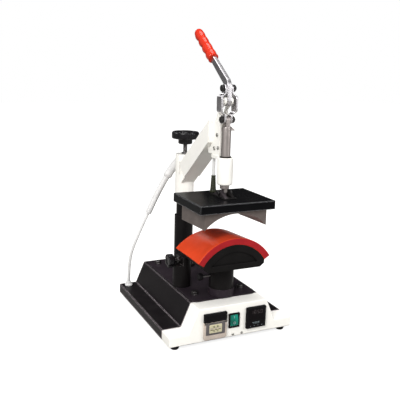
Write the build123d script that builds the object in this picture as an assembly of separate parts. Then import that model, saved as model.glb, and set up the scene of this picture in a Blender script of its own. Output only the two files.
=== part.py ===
from build123d import *
import math
import os

# Cap heat press: a folded steel housing carries a curved lower form, a column and a toggle-driven hot head.
# Millimetres. X to the right, Y to the back, Z up. The floor is Z = 0, under the middle of the machine.

# ---------------------------------------------------------------- shared clearances
RUNNING_FIT = 0.05      # radial play of a shaft in its bush
SIDE_PLAY = 0.25        # play between flat faces that slide past each other
PANEL_PLAY = 0.3        # play of a button or wheel in its opening

# ---------------------------------------------------------------- housing
FRONT_Y = -164.0        # outer face of the front panel
HOUSING_DEPTH = 334.0
HOUSING_WIDTH = 293.0
FOOT_HEIGHT = 10.0
LEDGE_Z = 32.0          # top of the side ledges
DECK_Z = 83.6           # top of the raised middle
LEDGE_WIDTH = 43.0      # from the housing's side to the foot of its slope
DECK_WIDTH = 163.0
SHEET = 2.0
BEND_RADIUS = 3.0
COVER_DEPTH = 42.0      # how far the pale front cover wraps back
FOOT_RADIUS = 10.0
FOOT_INSET = 15.0       # foot centre from the housing edges
FLOOR_SHEET = 1.5

# ---------------------------------------------------------------- deck plate
DECK_PLATE_WIDTH = 156.0
DECK_PLATE_THICKNESS = 3.0
DECK_PLATE_SETBACK = 38.0
DECK_PLATE_REAR_MARGIN = 8.0
DECK_PLATE_CORNER = 14.0
DECK_BOLT_X = 56.0
DECK_BOLT_FRONT = 78.0  # behind the front panel
DECK_BOLT_REAR = 34.0   # ahead of the rear wall
BOLT_RADIUS = 4.0
BOLT_HEAD_WIDTH = 13.0
BOLT_HEAD_HEIGHT = 5.3
WASHER_THICKNESS = 1.6

# ---------------------------------------------------------------- instruments
BEZEL_PROUD = 6.0
CONTROLLER_SIZE = 48.0
CONTROLLER_X = 54.0
PANEL_ROW_Z = 48.0      # middle line of the instruments
CONTROLLER_BODY = 44.0
CONTROLLER_DEPTH = 62.0
KEY_WIDTH = 6.0
KEY_HEIGHT = 3.6
KEY_PITCH = 9.4
KEY_RISE = 5.0          # key middle above the bezel's lower edge
KEY_DEPTH = 2.4
KEY_TRAVEL = 0.5
TIMER_X = -44.0
TIMER_DROP = 4.5        # timer's middle below the row
TIMER_WIDTH = 53.0
TIMER_HEIGHT = 58.0
TIMER_DEPTH = 55.0
TIMER_HOOD_HEIGHT = 24.0
TIMER_FACE_STEP = 1.0   # pale case behind the hood's face
TIMER_CASE_CORNER = 5.0
TIMER_WINDOW_WIDTH = 29.0
TIMER_WINDOW_HEIGHT = 22.0
TIMER_WINDOW_DEPTH = 1.2
TIMER_WINDOW_DROP = 8.5 # window's middle below the timer's
WHEEL_SETBACK = 10.9    # thumbwheel axle behind the bezel face
WHEEL_AXLE_RADIUS = 1.5
WHEEL_RADIUS = 10.5
WHEEL_WIDTH = 7.0
WHEEL_PITCH = 8.6
ROCKER_X = 1.5
ROCKER_BEZEL_WIDTH = 26.0
ROCKER_BEZEL_HEIGHT = 33.0
ROCKER_BEZEL_PROUD = 3.0
ROCKER_WIDTH = 19.0
ROCKER_HEIGHT = 26.0
ROCKER_END_PLAY = 0.7
ROCKER_TILT = 9.0       # degrees each side of level
ROCKER_PIVOT_DEPTH = 3.0
ROCKER_BARREL_RADIUS = 4.2
ROCKER_SWITCH_DEPTH = 20.0
FRONT_SCREW_X = (0.0, 21.5)
FRONT_SCREW_Z = 16.0
LOUVRE_COUNT = 6
LOUVRE_PITCH = 9.0
LOUVRE_FIRST_X = -60.0
INLET_X = 66.0
INLET_Z = 48.0

# ---------------------------------------------------------------- press centre line and column
PRESS_SETBACK = 62.0    # press centre line behind the front panel
COLUMN_SETBACK = 62.0   # column ahead of the rear wall
SOCKET_RADIUS = 23.0
SOCKET_HEIGHT = 130.0
SOCKET_FLANGE_RADIUS = 32.0
SOCKET_FLANGE_THICKNESS = 8.0
POST_RADIUS = 19.0
POST_WALL = 4.0
POST_TOP_Z = 326.0
SLEEVE_BOTTOM_Z = 262.0
SLEEVE_TOP_Z = 368.0
SLEEVE_CAP = 5.0
SCREW_RADIUS = 5.3
SCREW_BOTTOM_Z = 285.0
ARM_RAISE = 15.0        # how far the arm can be wound up
NUT_BLOCK_THICKNESS = 10.0
WHEEL_RIM_RADIUS = 33.0
WHEEL_HUB_RADIUS = 17.0
WHEEL_BOTTOM_Z = 392.0
WHEEL_RIM_Z = 404.0
WHEEL_TOP_Z = 422.0
WHEEL_LOBES = 6
RIM_BEVEL = 1.5

# ---------------------------------------------------------------- arm
ARM_WIDTH = 40.0
ARM_WALL = 3.0
ARM_FRONT_SETBACK = 107.0
ARM_FRONT_TOP_Z = 463.0
ARM_FRONT_BOTTOM_Z = 416.0
ARM_REAR_TOP_Z = 354.5  # where the top plate meets the sleeve
ARM_REAR_BOTTOM_Z = 303.0
ARM_NOTCH_TOP_Z = 348.0
ARM_NOTCH_REACH = 33.0

# ---------------------------------------------------------------- lower form
FORM_BOTTOM_Z = 159.5
FORM_DEPTH = 118.0
PAD_DEPTH = 120.0
PAD_THICKNESS = 14.0
PAD_HALF_WIDTH = 84.3
PAD_EDGE_Z = 182.0
PAD_CROWN_FRONT_Z = 228.5
PAD_CROWN_REAR_Z = 219.0
PAD_SEAT_GAP = 0.15
FORM_FOOT_HALF_WIDTH = 61.0
FORM_CHIN_HALF_WIDTH = 71.5
FORM_CHIN_Z = 167.0
FORM_RIM = 16.0
FORM_POCKET_DEPTH = 4.0
PEDESTAL_RADIUS = 27.0
PEDESTAL_WALL = 5.0
COLLAR_RADIUS = 29.0
COLLAR_HEIGHT = 17.0
FORM_KNOB_Z = 131.0
FORM_SCREW_RADIUS = 3.0
FORM_SCREW_SHOWS = 19.0
FORM_KNOB_RADIUS = 8.0
FORM_KNOB_THICKNESS = 10.0

# ---------------------------------------------------------------- side post with its star knob
SIDE_POST_X = -61.0
SIDE_POST_SETBACK = 139.0
SIDE_POST_RADIUS = 20.5
SIDE_POST_HEIGHT = 70.0
STAR_KNOB_Z = 148.0
STAR_KNOB_RADIUS = 16.0
STAR_KNOB_THICKNESS = 13.0
STAR_KNOB_LOBES = 5
STAR_STUD_RADIUS = 4.0
STAR_STUD_SHOWS = 18.0
STAR_STUD_HIDDEN = 13.0
STAR_NUT_WIDTH = 13.0
STAR_NUT_HEIGHT = 5.5
POST_LUG_FACE = 5.0     # lug's flat face to the left of the post's middle
POST_LEDGE_DROP = 9.5   # ledge under the stud's axis

# ---------------------------------------------------------------- hot head
STROKE = 51.0
CLOSED_GAP = 1.3        # thickness of the cap cloth held when closed
PLATEN_HALF_WIDTH = 72.0
PLATEN_DEPTH = 116.0
PLATEN_CROWN = 12.2     # thickness over the middle of its arch
HEATER_THICKNESS = 3.0
HEAD_COVER_WIDTH = 174.0
HEAD_COVER_DEPTH = 140.0
HEAD_COVER_SHIFT = 2.0  # cover reaches further back than forward
HEAD_COVER_DROP = 7.0   # cover's lower edge below the platen's top
HEAD_COVER_HEIGHT = 18.6
HEAD_SHEET = 1.5
YOKE_BASE = 2.0
YOKE_LENGTH = 57.0
YOKE_LUG = 7.5
YOKE_AXIS_RISE = 7.2    # pivot above the yoke's base plate
YOKE_TIP_RADIUS = 7.0
YOKE_BOLT_RADIUS = 3.0
YOKE_BOLT_HEAD = 10.0
TONGUE_HALF = 4.0

# ---------------------------------------------------------------- plunger, guide and head plates
PLUNGER_RADIUS = 10.0
TONGUE_DROP = 8.7       # head pivot below the round of the plunger
TONGUE_RISE = 15.0      # link pivot above the round of the plunger
STOP_REACH = 17.5       # stop lug's tip to the right of the middle
STOP_HALF = 4.0
STOP_HEIGHT = 8.5
GUIDE_RADIUS = 17.0
GUIDE_CLEARANCE = 17.2  # guide above the head pivot
GUIDE_TOP_Z = 389.0
GUIDE_LUG_TOP_Z = 442.0
BUSH_WALL = 2.5
WIPER_HEIGHT = 3.0
WIPER_WALL = 2.0
HEAD_PLATE = 4.0
HEAD_PLATE_INNER = 5.2
HEAD_PLATE_BOTTOM_Z = 391.0
HEAD_PLATE_FRONT = 12.0 # behind the press centre line
HEAD_PLATE_TAIL = 20.0  # how far it runs into the arm
HEAD_CARRIER_DEPTH = 16.0
HEAD_SCREW_RADIUS = 2.5
HEAD_SCREW_OFFSETS = ((11.0, 43.0), (4.5, 16.0), (22.0, 13.5))  # back and up from the plates' front foot

# ---------------------------------------------------------------- toggle
HANDLE_PIVOT_Z = 506.5
CRANK = STROKE / 2.0    # handle pivot to link pivot
LINK_LENGTH = 64.0
LINK_THICKNESS = 4.7
LINK_END_INNER = 5.0
LINK_BOW_INNER = 14.7
LINK_END_RADIUS = 8.5
LINK_BELLY = 11.0       # half depth of the bowed middle
LINK_FLAT = 9.7         # straight end beyond the pivot before the bend
LINK_RAMP = 9.0
HANDLE_HALF = 4.75
HANDLE_HUB_RADIUS = 11.0
HANDLE_BEND_RADIUS = 8.5
HANDLE_TIP_RADIUS = 5.5
HANDLE_BEND_RISE = 34.8 # bend above the handle pivot
HANDLE_LEAN = 35.6      # degrees of the upper bar above level
HANDLE_REACH = 190.0    # bend to the end of the grip
GRIP_LENGTH = 104.0
GRIP_RADIUS = 11.8
HUB_BOSS_REACH = 12.0
LOBE_RADIUS = 9.0

# ---------------------------------------------------------------- leads
LEAD_RADIUS = 3.5
LEAD_SLEEVE_RADIUS = 7.5
LEAD_INSET_X = 18.0     # lead from the housing's left side
LEAD_INSET_Y = 17.0     # lead from the rear wall
LEAD_END_LOW_Z = 24.0
LEAD_RISE_Z = 92.0      # lead stands upright up to here
LEAD_KNEE_Z = 146.0
LEAD_KNEE_SHIFT = 16.5
ELBOW_X = -20.0
ELBOW_Z = 332.0
LEAD_END_TOP_Z = 352.0
SLEEVE_START_Z = 215.0  # outer sleeve of the lead begins here
ELBOW_REACH = 24.0      # outer sleeve ends this far before the elbow's corner
ELBOW_OVERLAP = 12.0    # elbow's mouth over the outer sleeve
GLAND_RADIUS = 9.5
GLAND_HEIGHT = 6.0
ELBOW_RADIUS = 11.0
HEATER_LEAD_SETBACK = 53.0
HEATER_LEAD_TOP_Z = 446.0
BOOT_HEIGHT = 38.0
BOOT_RADIUS = 7.0

# ---------------------------------------------------------------- worked out once
HOUSING_BOTTOM_Z = FOOT_HEIGHT
REAR_Y = FRONT_Y + HOUSING_DEPTH
SEAM_Y = FRONT_Y + COVER_DEPTH
DECK_TOP_Z = DECK_Z + DECK_PLATE_THICKNESS
TIMER_Z = PANEL_ROW_Z - TIMER_DROP
PRESS_Y = FRONT_Y + PRESS_SETBACK
COLUMN_Y = REAR_Y - COLUMN_SETBACK
ARM_FRONT_Y = FRONT_Y + ARM_FRONT_SETBACK
HEAD_SHOULDER_Z = ARM_FRONT_TOP_Z - ARM_WALL * 1.35 - 1
HEAD_PLATE_FRONT_Y = PRESS_Y + HEAD_PLATE_FRONT
HEAD_PLATE_REAR_Y = ARM_FRONT_Y + HEAD_PLATE_TAIL
SIDE_POST_Y = FRONT_Y + SIDE_POST_SETBACK
LEAD_X = LEAD_INSET_X - HOUSING_WIDTH / 2
LEAD_Y = REAR_Y - LEAD_INSET_Y
HEATER_LEAD_Y = PRESS_Y + HEATER_LEAD_SETBACK
LIFT = STROKE + CLOSED_GAP
FORM_MID_Y = PRESS_Y
PLATEN_TOP_Z = PAD_CROWN_FRONT_Z + LIFT + PLATEN_CROWN
HEAD_COVER_BOTTOM_Z = PLATEN_TOP_Z - HEAD_COVER_DROP
HEAD_COVER_TOP_Z = HEAD_COVER_BOTTOM_Z + HEAD_COVER_HEIGHT
YOKE_AXIS_Z = HEAD_COVER_TOP_Z + YOKE_BASE + YOKE_AXIS_RISE
COVER_Y = PRESS_Y + HEAD_COVER_SHIFT
UPPER_PIVOT_Z = HANDLE_PIVOT_Z + CRANK
LOWER_PIVOT_Z = UPPER_PIVOT_Z - LINK_LENGTH
PLUNGER_BOTTOM_Z = YOKE_AXIS_Z + TONGUE_DROP
PLUNGER_TOP_Z = LOWER_PIVOT_Z - TONGUE_RISE
GUIDE_BOTTOM_Z = YOKE_AXIS_Z + GUIDE_CLEARANCE
COLUMN_BASE_Z = DECK_TOP_Z
SOCKET_TOP_Z = COLUMN_BASE_Z + SOCKET_HEIGHT


# ================================================================ drawing helpers
def yz_solid(outline, x_low, x_high):
    """Thicken a sketch drawn as (Y, Z) from x_low to x_high."""
    return extrude(Plane.YZ.offset(x_low) * outline, x_high - x_low)


def xz_solid(outline, y_low, y_high):
    """Thicken a sketch drawn as (X, Z) from y_low to y_high."""
    plane = Plane(origin=(0, y_high, 0), x_dir=(1, 0, 0), z_dir=(0, -1, 0))
    return extrude(plane * outline, y_high - y_low)


def polygon(*points):
    """Closed flat shape through the given points."""
    return make_face(Polyline(*points, close=True))


def box(x_low, x_high, y_low, y_high, z_low, z_high):
    """Block between two corners."""
    middle = Pos((x_low + x_high) / 2, (y_low + y_high) / 2, (z_low + z_high) / 2)
    return middle * Box(x_high - x_low, y_high - y_low, z_high - z_low)


def upright(radius, x, y, z_low, z_high):
    """Cylinder that stands on Z."""
    return Pos(x, y, (z_low + z_high) / 2) * Cylinder(radius, z_high - z_low)


def crosswise(radius, y, z, x_low, x_high):
    """Cylinder that lies along X."""
    return Pos((x_low + x_high) / 2, y, z) * Rot(0, 90, 0) * Cylinder(radius, x_high - x_low)


def hexagon_up(width, x, y, z_low, z_high):
    """Hexagon bar that stands on Z, width across its flats."""
    flat = RegularPolygon(width / 2, 6, major_radius=False)
    return extrude(Pos(x, y, z_low) * flat, z_high - z_low)


def hexagon_across(width, y, z, x_low, x_high):
    """Hexagon bar along X, width across its flats."""
    flat = RegularPolygon(width / 2, 6, major_radius=False)
    return extrude(Plane(origin=(x_low, y, z), x_dir=(0, 1, 0), z_dir=(1, 0, 0)) * flat, x_high - x_low)


def hex_bolt_up(x, y, z_seat, grip, radius=BOLT_RADIUS, head=BOLT_HEAD_WIDTH):
    """Upright bolt with a washer under its head and a nut below the stack it grips."""
    washer = upright(head * 0.62, x, y, z_seat, z_seat + WASHER_THICKNESS)
    head_low = z_seat + WASHER_THICKNESS
    top = hexagon_up(head, x, y, head_low, head_low + BOLT_HEAD_HEIGHT)
    shank = upright(radius, x, y, z_seat - grip - BOLT_HEAD_HEIGHT - 2, head_low)
    nut = hexagon_up(head, x, y, z_seat - grip - BOLT_HEAD_HEIGHT, z_seat - grip)
    return washer + top + shank + nut


def swept_tube(points, radii, radius):
    """Round bar along straight runs joined by tangent arcs."""
    path = FilletPolyline(*points, radius=radii)
    start = Plane(origin=path @ 0, z_dir=path % 0)
    return sweep(start * Circle(radius), path=path)


def bend_radius(a, b, c):
    """Largest even arc for the corner b between the runs ab and bc."""
    first = Vector(*b) - Vector(*a)
    second = Vector(*c) - Vector(*b)
    turn = math.radians(first.get_angle(second))
    return 0.45 * min(first.length, second.length) / math.tan(turn / 2)


# ================================================================ housing
def housing_outline():
    """Front view of the folded housing: side ledges, slopes and a raised deck."""
    half = HOUSING_WIDTH / 2
    foot = half - LEDGE_WIDTH
    deck = DECK_WIDTH / 2
    outline = polygon(
        (-half, HOUSING_BOTTOM_Z), (-half, LEDGE_Z), (-foot, LEDGE_Z), (-deck, DECK_Z),
        (deck, DECK_Z), (foot, LEDGE_Z), (half, LEDGE_Z), (half, HOUSING_BOTTOM_Z),
    )
    bends = outline.vertices().filter_by(lambda v: v.Y > HOUSING_BOTTOM_Z + 1)
    return fillet(bends, BEND_RADIUS)


def housing_cavity():
    """Front view of the space inside the sheet, open at the bottom."""
    inside = offset(housing_outline(), -SHEET)
    half = HOUSING_WIDTH / 2 - SHEET
    mouth = polygon(
        (-half, HOUSING_BOTTOM_Z), (-half, HOUSING_BOTTOM_Z + 2 * SHEET),
        (half, HOUSING_BOTTOM_Z + 2 * SHEET), (half, HOUSING_BOTTOM_Z),
    )
    return inside + mouth


def deck_bolt_places():
    """Deck bolts, two in front beside the pedestal and two at the back."""
    rows = (FRONT_Y + DECK_BOLT_FRONT, REAR_Y - DECK_BOLT_REAR)
    return [(side * DECK_BOLT_X, y) for y in rows for side in (-1, 1)]


def flange_bolt_places():
    """Four bolts on the column flange's pitch circle."""
    pitch = (SOCKET_RADIUS + SOCKET_FLANGE_RADIUS) / 2
    corners = [math.radians(45 + 90 * n) for n in range(4)]
    return [(pitch * math.cos(a), COLUMN_Y + pitch * math.sin(a)) for a in corners]


def bolt_holes(places, radius, z_low, z_high):
    """Clearance holes for upright bolts."""
    holes = [upright(radius + RUNNING_FIT, x, y, z_low, z_high) for x, y in places]
    return Compound(children=holes)


def base_body():
    """Dark folded body behind the front cover."""
    shell = xz_solid(housing_outline() - housing_cavity(), SEAM_Y, REAR_Y)
    for x, y in deck_bolt_places():
        shell -= upright(BOLT_RADIUS + RUNNING_FIT, x, y, DECK_Z - 3 * SHEET, DECK_Z + 1)
    shell -= upright(LEAD_SLEEVE_RADIUS - 1, LEAD_X, LEAD_Y, LEDGE_Z - 2 * SHEET, LEDGE_Z + 1)
    return shell


def panel_block(x, z, half_width, half_height, y_low, y_high):
    """Block centred on a place of the front panel."""
    return box(x - half_width, x + half_width, y_low, y_high, z - half_height, z + half_height)


def panel_window(x, width, height, z=PANEL_ROW_Z):
    """Block that cuts an instrument's opening through the front panel."""
    return panel_block(x, z, width / 2, height / 2, FRONT_Y - 1, FRONT_Y + SHEET + 1)


def front_cover():
    """Pale cover: the front panel and the first stretch of the wrap behind it."""
    wrap = xz_solid(housing_outline() - housing_cavity(), FRONT_Y, SEAM_Y)
    panel = xz_solid(housing_outline(), FRONT_Y, FRONT_Y + SHEET)
    cover = wrap + panel
    cover -= panel_window(CONTROLLER_X, CONTROLLER_BODY, CONTROLLER_BODY)
    cover -= panel_window(TIMER_X, TIMER_WIDTH - 4, TIMER_HEIGHT - 4, TIMER_Z)
    cover -= panel_window(ROCKER_X, ROCKER_BEZEL_WIDTH - 4, ROCKER_BEZEL_HEIGHT - 4)
    for x in FRONT_SCREW_X:
        cover -= Pos(x, FRONT_Y, FRONT_SCREW_Z) * Rot(90, 0, 0) * Cylinder(1.6, 6 * SHEET)
    return cover


def chassis_pan():
    """Floor sheet folded up into the rear wall, with louvres and the opening for the power inlet."""
    half = HOUSING_WIDTH / 2 - SHEET
    low = HOUSING_BOTTOM_Z
    wall = xz_solid(housing_cavity(), REAR_Y - FLOOR_SHEET, REAR_Y)
    wall += box(-half, half, FRONT_Y + SHEET, REAR_Y, low, low + FLOOR_SHEET)
    for n in range(LOUVRE_COUNT):
        x = LOUVRE_FIRST_X + n * LOUVRE_PITCH
        slot = Pos(x, REAR_Y, 50) * Rot(90, 0, 0) * SlotOverall(34, 3.2, rotation=90)
        wall -= extrude(slot, 6, both=True)
    wall -= box(INLET_X - 14, INLET_X + 14, REAR_Y - 5, REAR_Y + 5, INLET_Z - 10, INLET_Z + 10)
    return wall


def power_inlet():
    """Moulded three-pin power inlet let into the rear panel."""
    play = PANEL_PLAY
    body = box(
        INLET_X - 14 + play, INLET_X + 14 - play, REAR_Y - 26, REAR_Y,
        INLET_Z - 10 + play, INLET_Z + 10 - play,
    )
    well = box(INLET_X - 11, INLET_X + 11, REAR_Y - 18, REAR_Y + 1, INLET_Z - 7, INLET_Z + 7)
    pins = [
        box(INLET_X + x - 1, INLET_X + x + 1, REAR_Y - 19, REAR_Y - 4, INLET_Z + z - 2, INLET_Z + z + 2)
        for x, z in ((-7, -1.5), (0, 2.5), (7, -1.5))
    ]
    inlet = body - well
    for pin in pins:
        inlet += pin
    return inlet


def feet():
    """Four turned rubber feet."""
    x = HOUSING_WIDTH / 2 - FOOT_INSET - FLOOR_SHEET * 2
    rows = (FRONT_Y + FOOT_INSET, REAR_Y - FOOT_INSET)
    profile = make_face(
        Polyline(
            (0, 0), (FOOT_RADIUS - 2.5, 0), (FOOT_RADIUS - 0.8, 2.2), (FOOT_RADIUS, FOOT_HEIGHT),
            (0, FOOT_HEIGHT), close=True,
        )
    )
    foot = revolve(Plane.XZ * profile, Axis.Z)
    return Compound(children=[Pos(side * x, y, 0) * foot for y in rows for side in (-1, 1)])


def deck_plate():
    """Dark plate on the deck that carries the pedestal and the column."""
    front = FRONT_Y + DECK_PLATE_SETBACK
    rear = REAR_Y - DECK_PLATE_REAR_MARGIN
    sketch = Pos(0, (front + rear) / 2) * RectangleRounded(DECK_PLATE_WIDTH, rear - front, DECK_PLATE_CORNER)
    plate = extrude(Pos(0, 0, DECK_Z) * sketch, DECK_PLATE_THICKNESS)
    for x, y in deck_bolt_places():
        plate -= upright(BOLT_RADIUS + RUNNING_FIT, x, y, DECK_Z - 1, DECK_TOP_Z + 1)
    return plate


def deck_bolts():
    """Four bolts through the deck plate and the housing."""
    grip = DECK_PLATE_THICKNESS + SHEET
    return Compound(children=[hex_bolt_up(x, y, DECK_TOP_Z, grip) for x, y in deck_bolt_places()])


def front_screws():
    """Two small pan screws low on the front panel."""
    screws = []
    for x in FRONT_SCREW_X:
        head = Pos(x, FRONT_Y - 0.8, FRONT_SCREW_Z) * Rot(90, 0, 0) * Cylinder(3.0, 1.6)
        head = fillet(head.edges().sort_by(Axis.Y)[0], 0.8)
        shank = Pos(x, FRONT_Y + 4, FRONT_SCREW_Z) * Rot(90, 0, 0) * Cylinder(1.5, 8)
        screws.append(head + shank)
    return Compound(children=screws)


# ================================================================ instruments
def key_places():
    """Middles of the controller's four keys."""
    first = CONTROLLER_X - 1.5 * KEY_PITCH
    z = PANEL_ROW_Z - CONTROLLER_SIZE / 2 + KEY_RISE
    return [(first + n * KEY_PITCH, z) for n in range(4)]


def temperature_controller():
    """Square panel instrument: bezel, sunk display face and the body behind the panel."""
    half = CONTROLLER_SIZE / 2
    face_y = FRONT_Y - BEZEL_PROUD
    bezel = panel_block(CONTROLLER_X, PANEL_ROW_Z, half, half, face_y, FRONT_Y)
    bezel = fillet(bezel.edges().filter_by(Axis.Y), 2.0)
    bezel = chamfer(bezel.faces().sort_by(Axis.Y)[0].edges(), 1.2)
    body_half = CONTROLLER_BODY / 2 - PANEL_PLAY
    body = panel_block(CONTROLLER_X, PANEL_ROW_Z, body_half, body_half, FRONT_Y, FRONT_Y + CONTROLLER_DEPTH)
    display = panel_block(CONTROLLER_X, PANEL_ROW_Z + 6.5, 19, 12.5, face_y - 1, face_y + 1)
    instrument = bezel + body - display
    for x, z in key_places():
        instrument -= key_solid(x, z, PANEL_PLAY, 3.0, 3.0)
    return instrument


def key_solid(x, z, grow, front, deep):
    """Rounded key or its pocket; grow widens it, front and deep are its reach about the bezel face."""
    face_y = FRONT_Y - BEZEL_PROUD
    width = KEY_WIDTH + 2 * grow
    height = KEY_HEIGHT + 2 * grow
    sketch = Pos(x, z) * RectangleRounded(width, height, 1.2)
    return xz_solid(sketch, face_y - front, face_y + deep)


def controller_key(number):
    """One push key of the controller, counted from the left."""
    x, z = key_places()[number]
    return key_solid(x, z, 0.0, 0.0, KEY_DEPTH - KEY_TRAVEL)


def timer_wheel_places():
    """Middles of the three thumbwheels along X."""
    return [TIMER_X + (n - 1) * WHEEL_PITCH for n in range(3)]


def timer_axis():
    """Y and Z of the thumbwheels' axle."""
    return FRONT_Y - BEZEL_PROUD + WHEEL_SETBACK, TIMER_Z - TIMER_WINDOW_DROP


def timer_body():
    """Preset timer: dark hood above, pale case with a window for the thumbwheels below."""
    half = TIMER_WIDTH / 2
    low = TIMER_Z - TIMER_HEIGHT / 2
    high = TIMER_Z + TIMER_HEIGHT / 2
    split = high - TIMER_HOOD_HEIGHT
    face_y = FRONT_Y - BEZEL_PROUD + TIMER_FACE_STEP
    case = box(TIMER_X - half, TIMER_X + half, face_y, FRONT_Y, low, split)
    case = fillet(case.edges().filter_by(Axis.Y).sort_by(Axis.Z)[:2], TIMER_CASE_CORNER)
    body_half = half - 2 - PANEL_PLAY
    tall = TIMER_HEIGHT / 2 - 2 - PANEL_PLAY
    body = panel_block(TIMER_X, TIMER_Z, body_half, tall, FRONT_Y, FRONT_Y + TIMER_DEPTH)
    axis_y, axis_z = timer_axis()
    window_half = TIMER_WINDOW_WIDTH / 2
    window = panel_block(
        TIMER_X, axis_z, window_half, TIMER_WINDOW_HEIGHT / 2, face_y - 1, face_y + TIMER_WINDOW_DEPTH,
    )
    timer = case + body - window
    for x in timer_wheel_places():
        well = (WHEEL_WIDTH / 2) + PANEL_PLAY
        timer -= crosswise(WHEEL_RADIUS + 0.6, axis_y, axis_z, x - well, x + well)
    axle = crosswise(WHEEL_AXLE_RADIUS, axis_y, axis_z, TIMER_X - window_half, TIMER_X + window_half)
    return timer + axle


def timer_hood():
    """Dark upper half of the timer's face."""
    half = TIMER_WIDTH / 2
    high = TIMER_Z + TIMER_HEIGHT / 2
    face_y = FRONT_Y - BEZEL_PROUD
    hood = box(TIMER_X - half, TIMER_X + half, face_y, FRONT_Y, high - TIMER_HOOD_HEIGHT, high)
    hood = chamfer(hood.faces().sort_by(Axis.Y)[0].edges(), 1.0)
    return hood


def timer_wheel(number):
    """Ten-sided preset thumbwheel, counted from the left."""
    x = timer_wheel_places()[number]
    axis_y, axis_z = timer_axis()
    half = WHEEL_WIDTH / 2
    rim = RegularPolygon(WHEEL_RADIUS, 10, major_radius=True)
    plane = Plane(origin=(x - half, axis_y, axis_z), x_dir=(0, 1, 0), z_dir=(1, 0, 0))
    drum = extrude(plane * rim, WHEEL_WIDTH)
    return drum - crosswise(WHEEL_AXLE_RADIUS + RUNNING_FIT, axis_y, axis_z, x - half - 1, x + half + 1)


def rocker_bezel():
    """Frame and box of the power switch."""
    half_w = ROCKER_BEZEL_WIDTH / 2
    half_h = ROCKER_BEZEL_HEIGHT / 2
    frame = panel_block(ROCKER_X, PANEL_ROW_Z, half_w, half_h, FRONT_Y - ROCKER_BEZEL_PROUD, FRONT_Y)
    frame = fillet(frame.edges().filter_by(Axis.Y), 1.5)
    frame = chamfer(frame.faces().sort_by(Axis.Y)[0].edges(), 1.0)
    inner_w = half_w - 2 - PANEL_PLAY
    inner_h = half_h - 2 - PANEL_PLAY
    body = panel_block(ROCKER_X, PANEL_ROW_Z, inner_w, inner_h, FRONT_Y, FRONT_Y + ROCKER_SWITCH_DEPTH)
    well_w = ROCKER_WIDTH / 2 + PANEL_PLAY
    well_h = ROCKER_HEIGHT / 2 + PANEL_PLAY
    well = panel_block(ROCKER_X, PANEL_ROW_Z, well_w, well_h, FRONT_Y - 10, FRONT_Y + 9)
    return frame + body - well


def rocker_axis():
    """Y and Z of the rocker's pivot."""
    return FRONT_Y + ROCKER_PIVOT_DEPTH, PANEL_ROW_Z


def rocker():
    """Green rocker with its lower half pressed: a shallow V in front, a round pivot barrel behind."""
    axis_y, axis_z = rocker_axis()
    reach = ROCKER_HEIGHT / 2 - ROCKER_END_PLAY
    crest = FRONT_Y - ROCKER_BEZEL_PROUD - 0.6
    rise = reach * math.tan(math.radians(ROCKER_TILT))
    profile = polygon(
        (crest + rise * 0.4, -reach), (crest + 0.4, 0), (crest + rise * 0.4, reach),
        (axis_y, reach * 0.9), (axis_y + 3, 3), (axis_y + 3, -3), (axis_y, -reach * 0.9),
    )
    profile += Pos(axis_y, 0) * Circle(ROCKER_BARREL_RADIUS)
    half = ROCKER_WIDTH / 2
    level = yz_solid(Pos(0, axis_z) * profile, ROCKER_X - half, ROCKER_X + half)
    return level.rotate(Axis((ROCKER_X, axis_y, axis_z), (1, 0, 0)), -ROCKER_TILT)


# ================================================================ column
def column_socket():
    """Thick socket that is bolted to the deck and clamps the post."""
    body = upright(SOCKET_RADIUS, 0, COLUMN_Y, COLUMN_BASE_Z, SOCKET_TOP_Z)
    body = chamfer(body.edges().sort_by(Axis.Z)[-1], 1.5)
    flange_top = COLUMN_BASE_Z + SOCKET_FLANGE_THICKNESS
    body += upright(SOCKET_FLANGE_RADIUS, 0, COLUMN_Y, COLUMN_BASE_Z, flange_top)
    body -= upright(POST_RADIUS, 0, COLUMN_Y, COLUMN_BASE_Z - 1, SOCKET_TOP_Z + 1)
    for x, y in flange_bolt_places():
        body -= upright(2.5 + RUNNING_FIT, x, y, COLUMN_BASE_Z - 1, flange_top + 1)
    return body


def flange_screws():
    """Four cap screws in the column flange."""
    top = COLUMN_BASE_Z + SOCKET_FLANGE_THICKNESS
    screws = []
    for x, y in flange_bolt_places():
        shank = upright(2.5, x, y, COLUMN_BASE_Z, top)
        head = upright(4.0, x, y, top, top + 4.5)
        socket = hexagon_up(3.6, x, y, top + 2, top + 6)
        screws.append(shank + head - socket)
    return Compound(children=screws)


def column_post():
    """Dark tube that the arm's sleeve slides on, closed by a threaded block."""
    tube = upright(POST_RADIUS, 0, COLUMN_Y, COLUMN_BASE_Z, POST_TOP_Z)
    bore_top = POST_TOP_Z - NUT_BLOCK_THICKNESS
    tube -= upright(POST_RADIUS - POST_WALL, 0, COLUMN_Y, COLUMN_BASE_Z - 1, bore_top)
    tube -= upright(SCREW_RADIUS + RUNNING_FIT, 0, COLUMN_Y, bore_top - 1, POST_TOP_Z + 1)
    return tube


def column_sleeve():
    """Pale sleeve of the arm with a cap for the pressure screw and a hole for the lead."""
    body = upright(SOCKET_RADIUS, 0, COLUMN_Y, SLEEVE_BOTTOM_Z, SLEEVE_TOP_Z)
    body = chamfer(body.edges().sort_by(Axis.Z)[-1], 1.2)
    cap_low = SLEEVE_TOP_Z - SLEEVE_CAP
    body -= upright(POST_RADIUS + RUNNING_FIT, 0, COLUMN_Y, SLEEVE_BOTTOM_Z - 1, cap_low)
    body -= upright(SCREW_RADIUS + RUNNING_FIT, 0, COLUMN_Y, cap_low - 1, SLEEVE_TOP_Z + 1)
    body -= swept_tube(*lead_route(), LEAD_RADIUS + 0.4)
    return body


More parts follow.
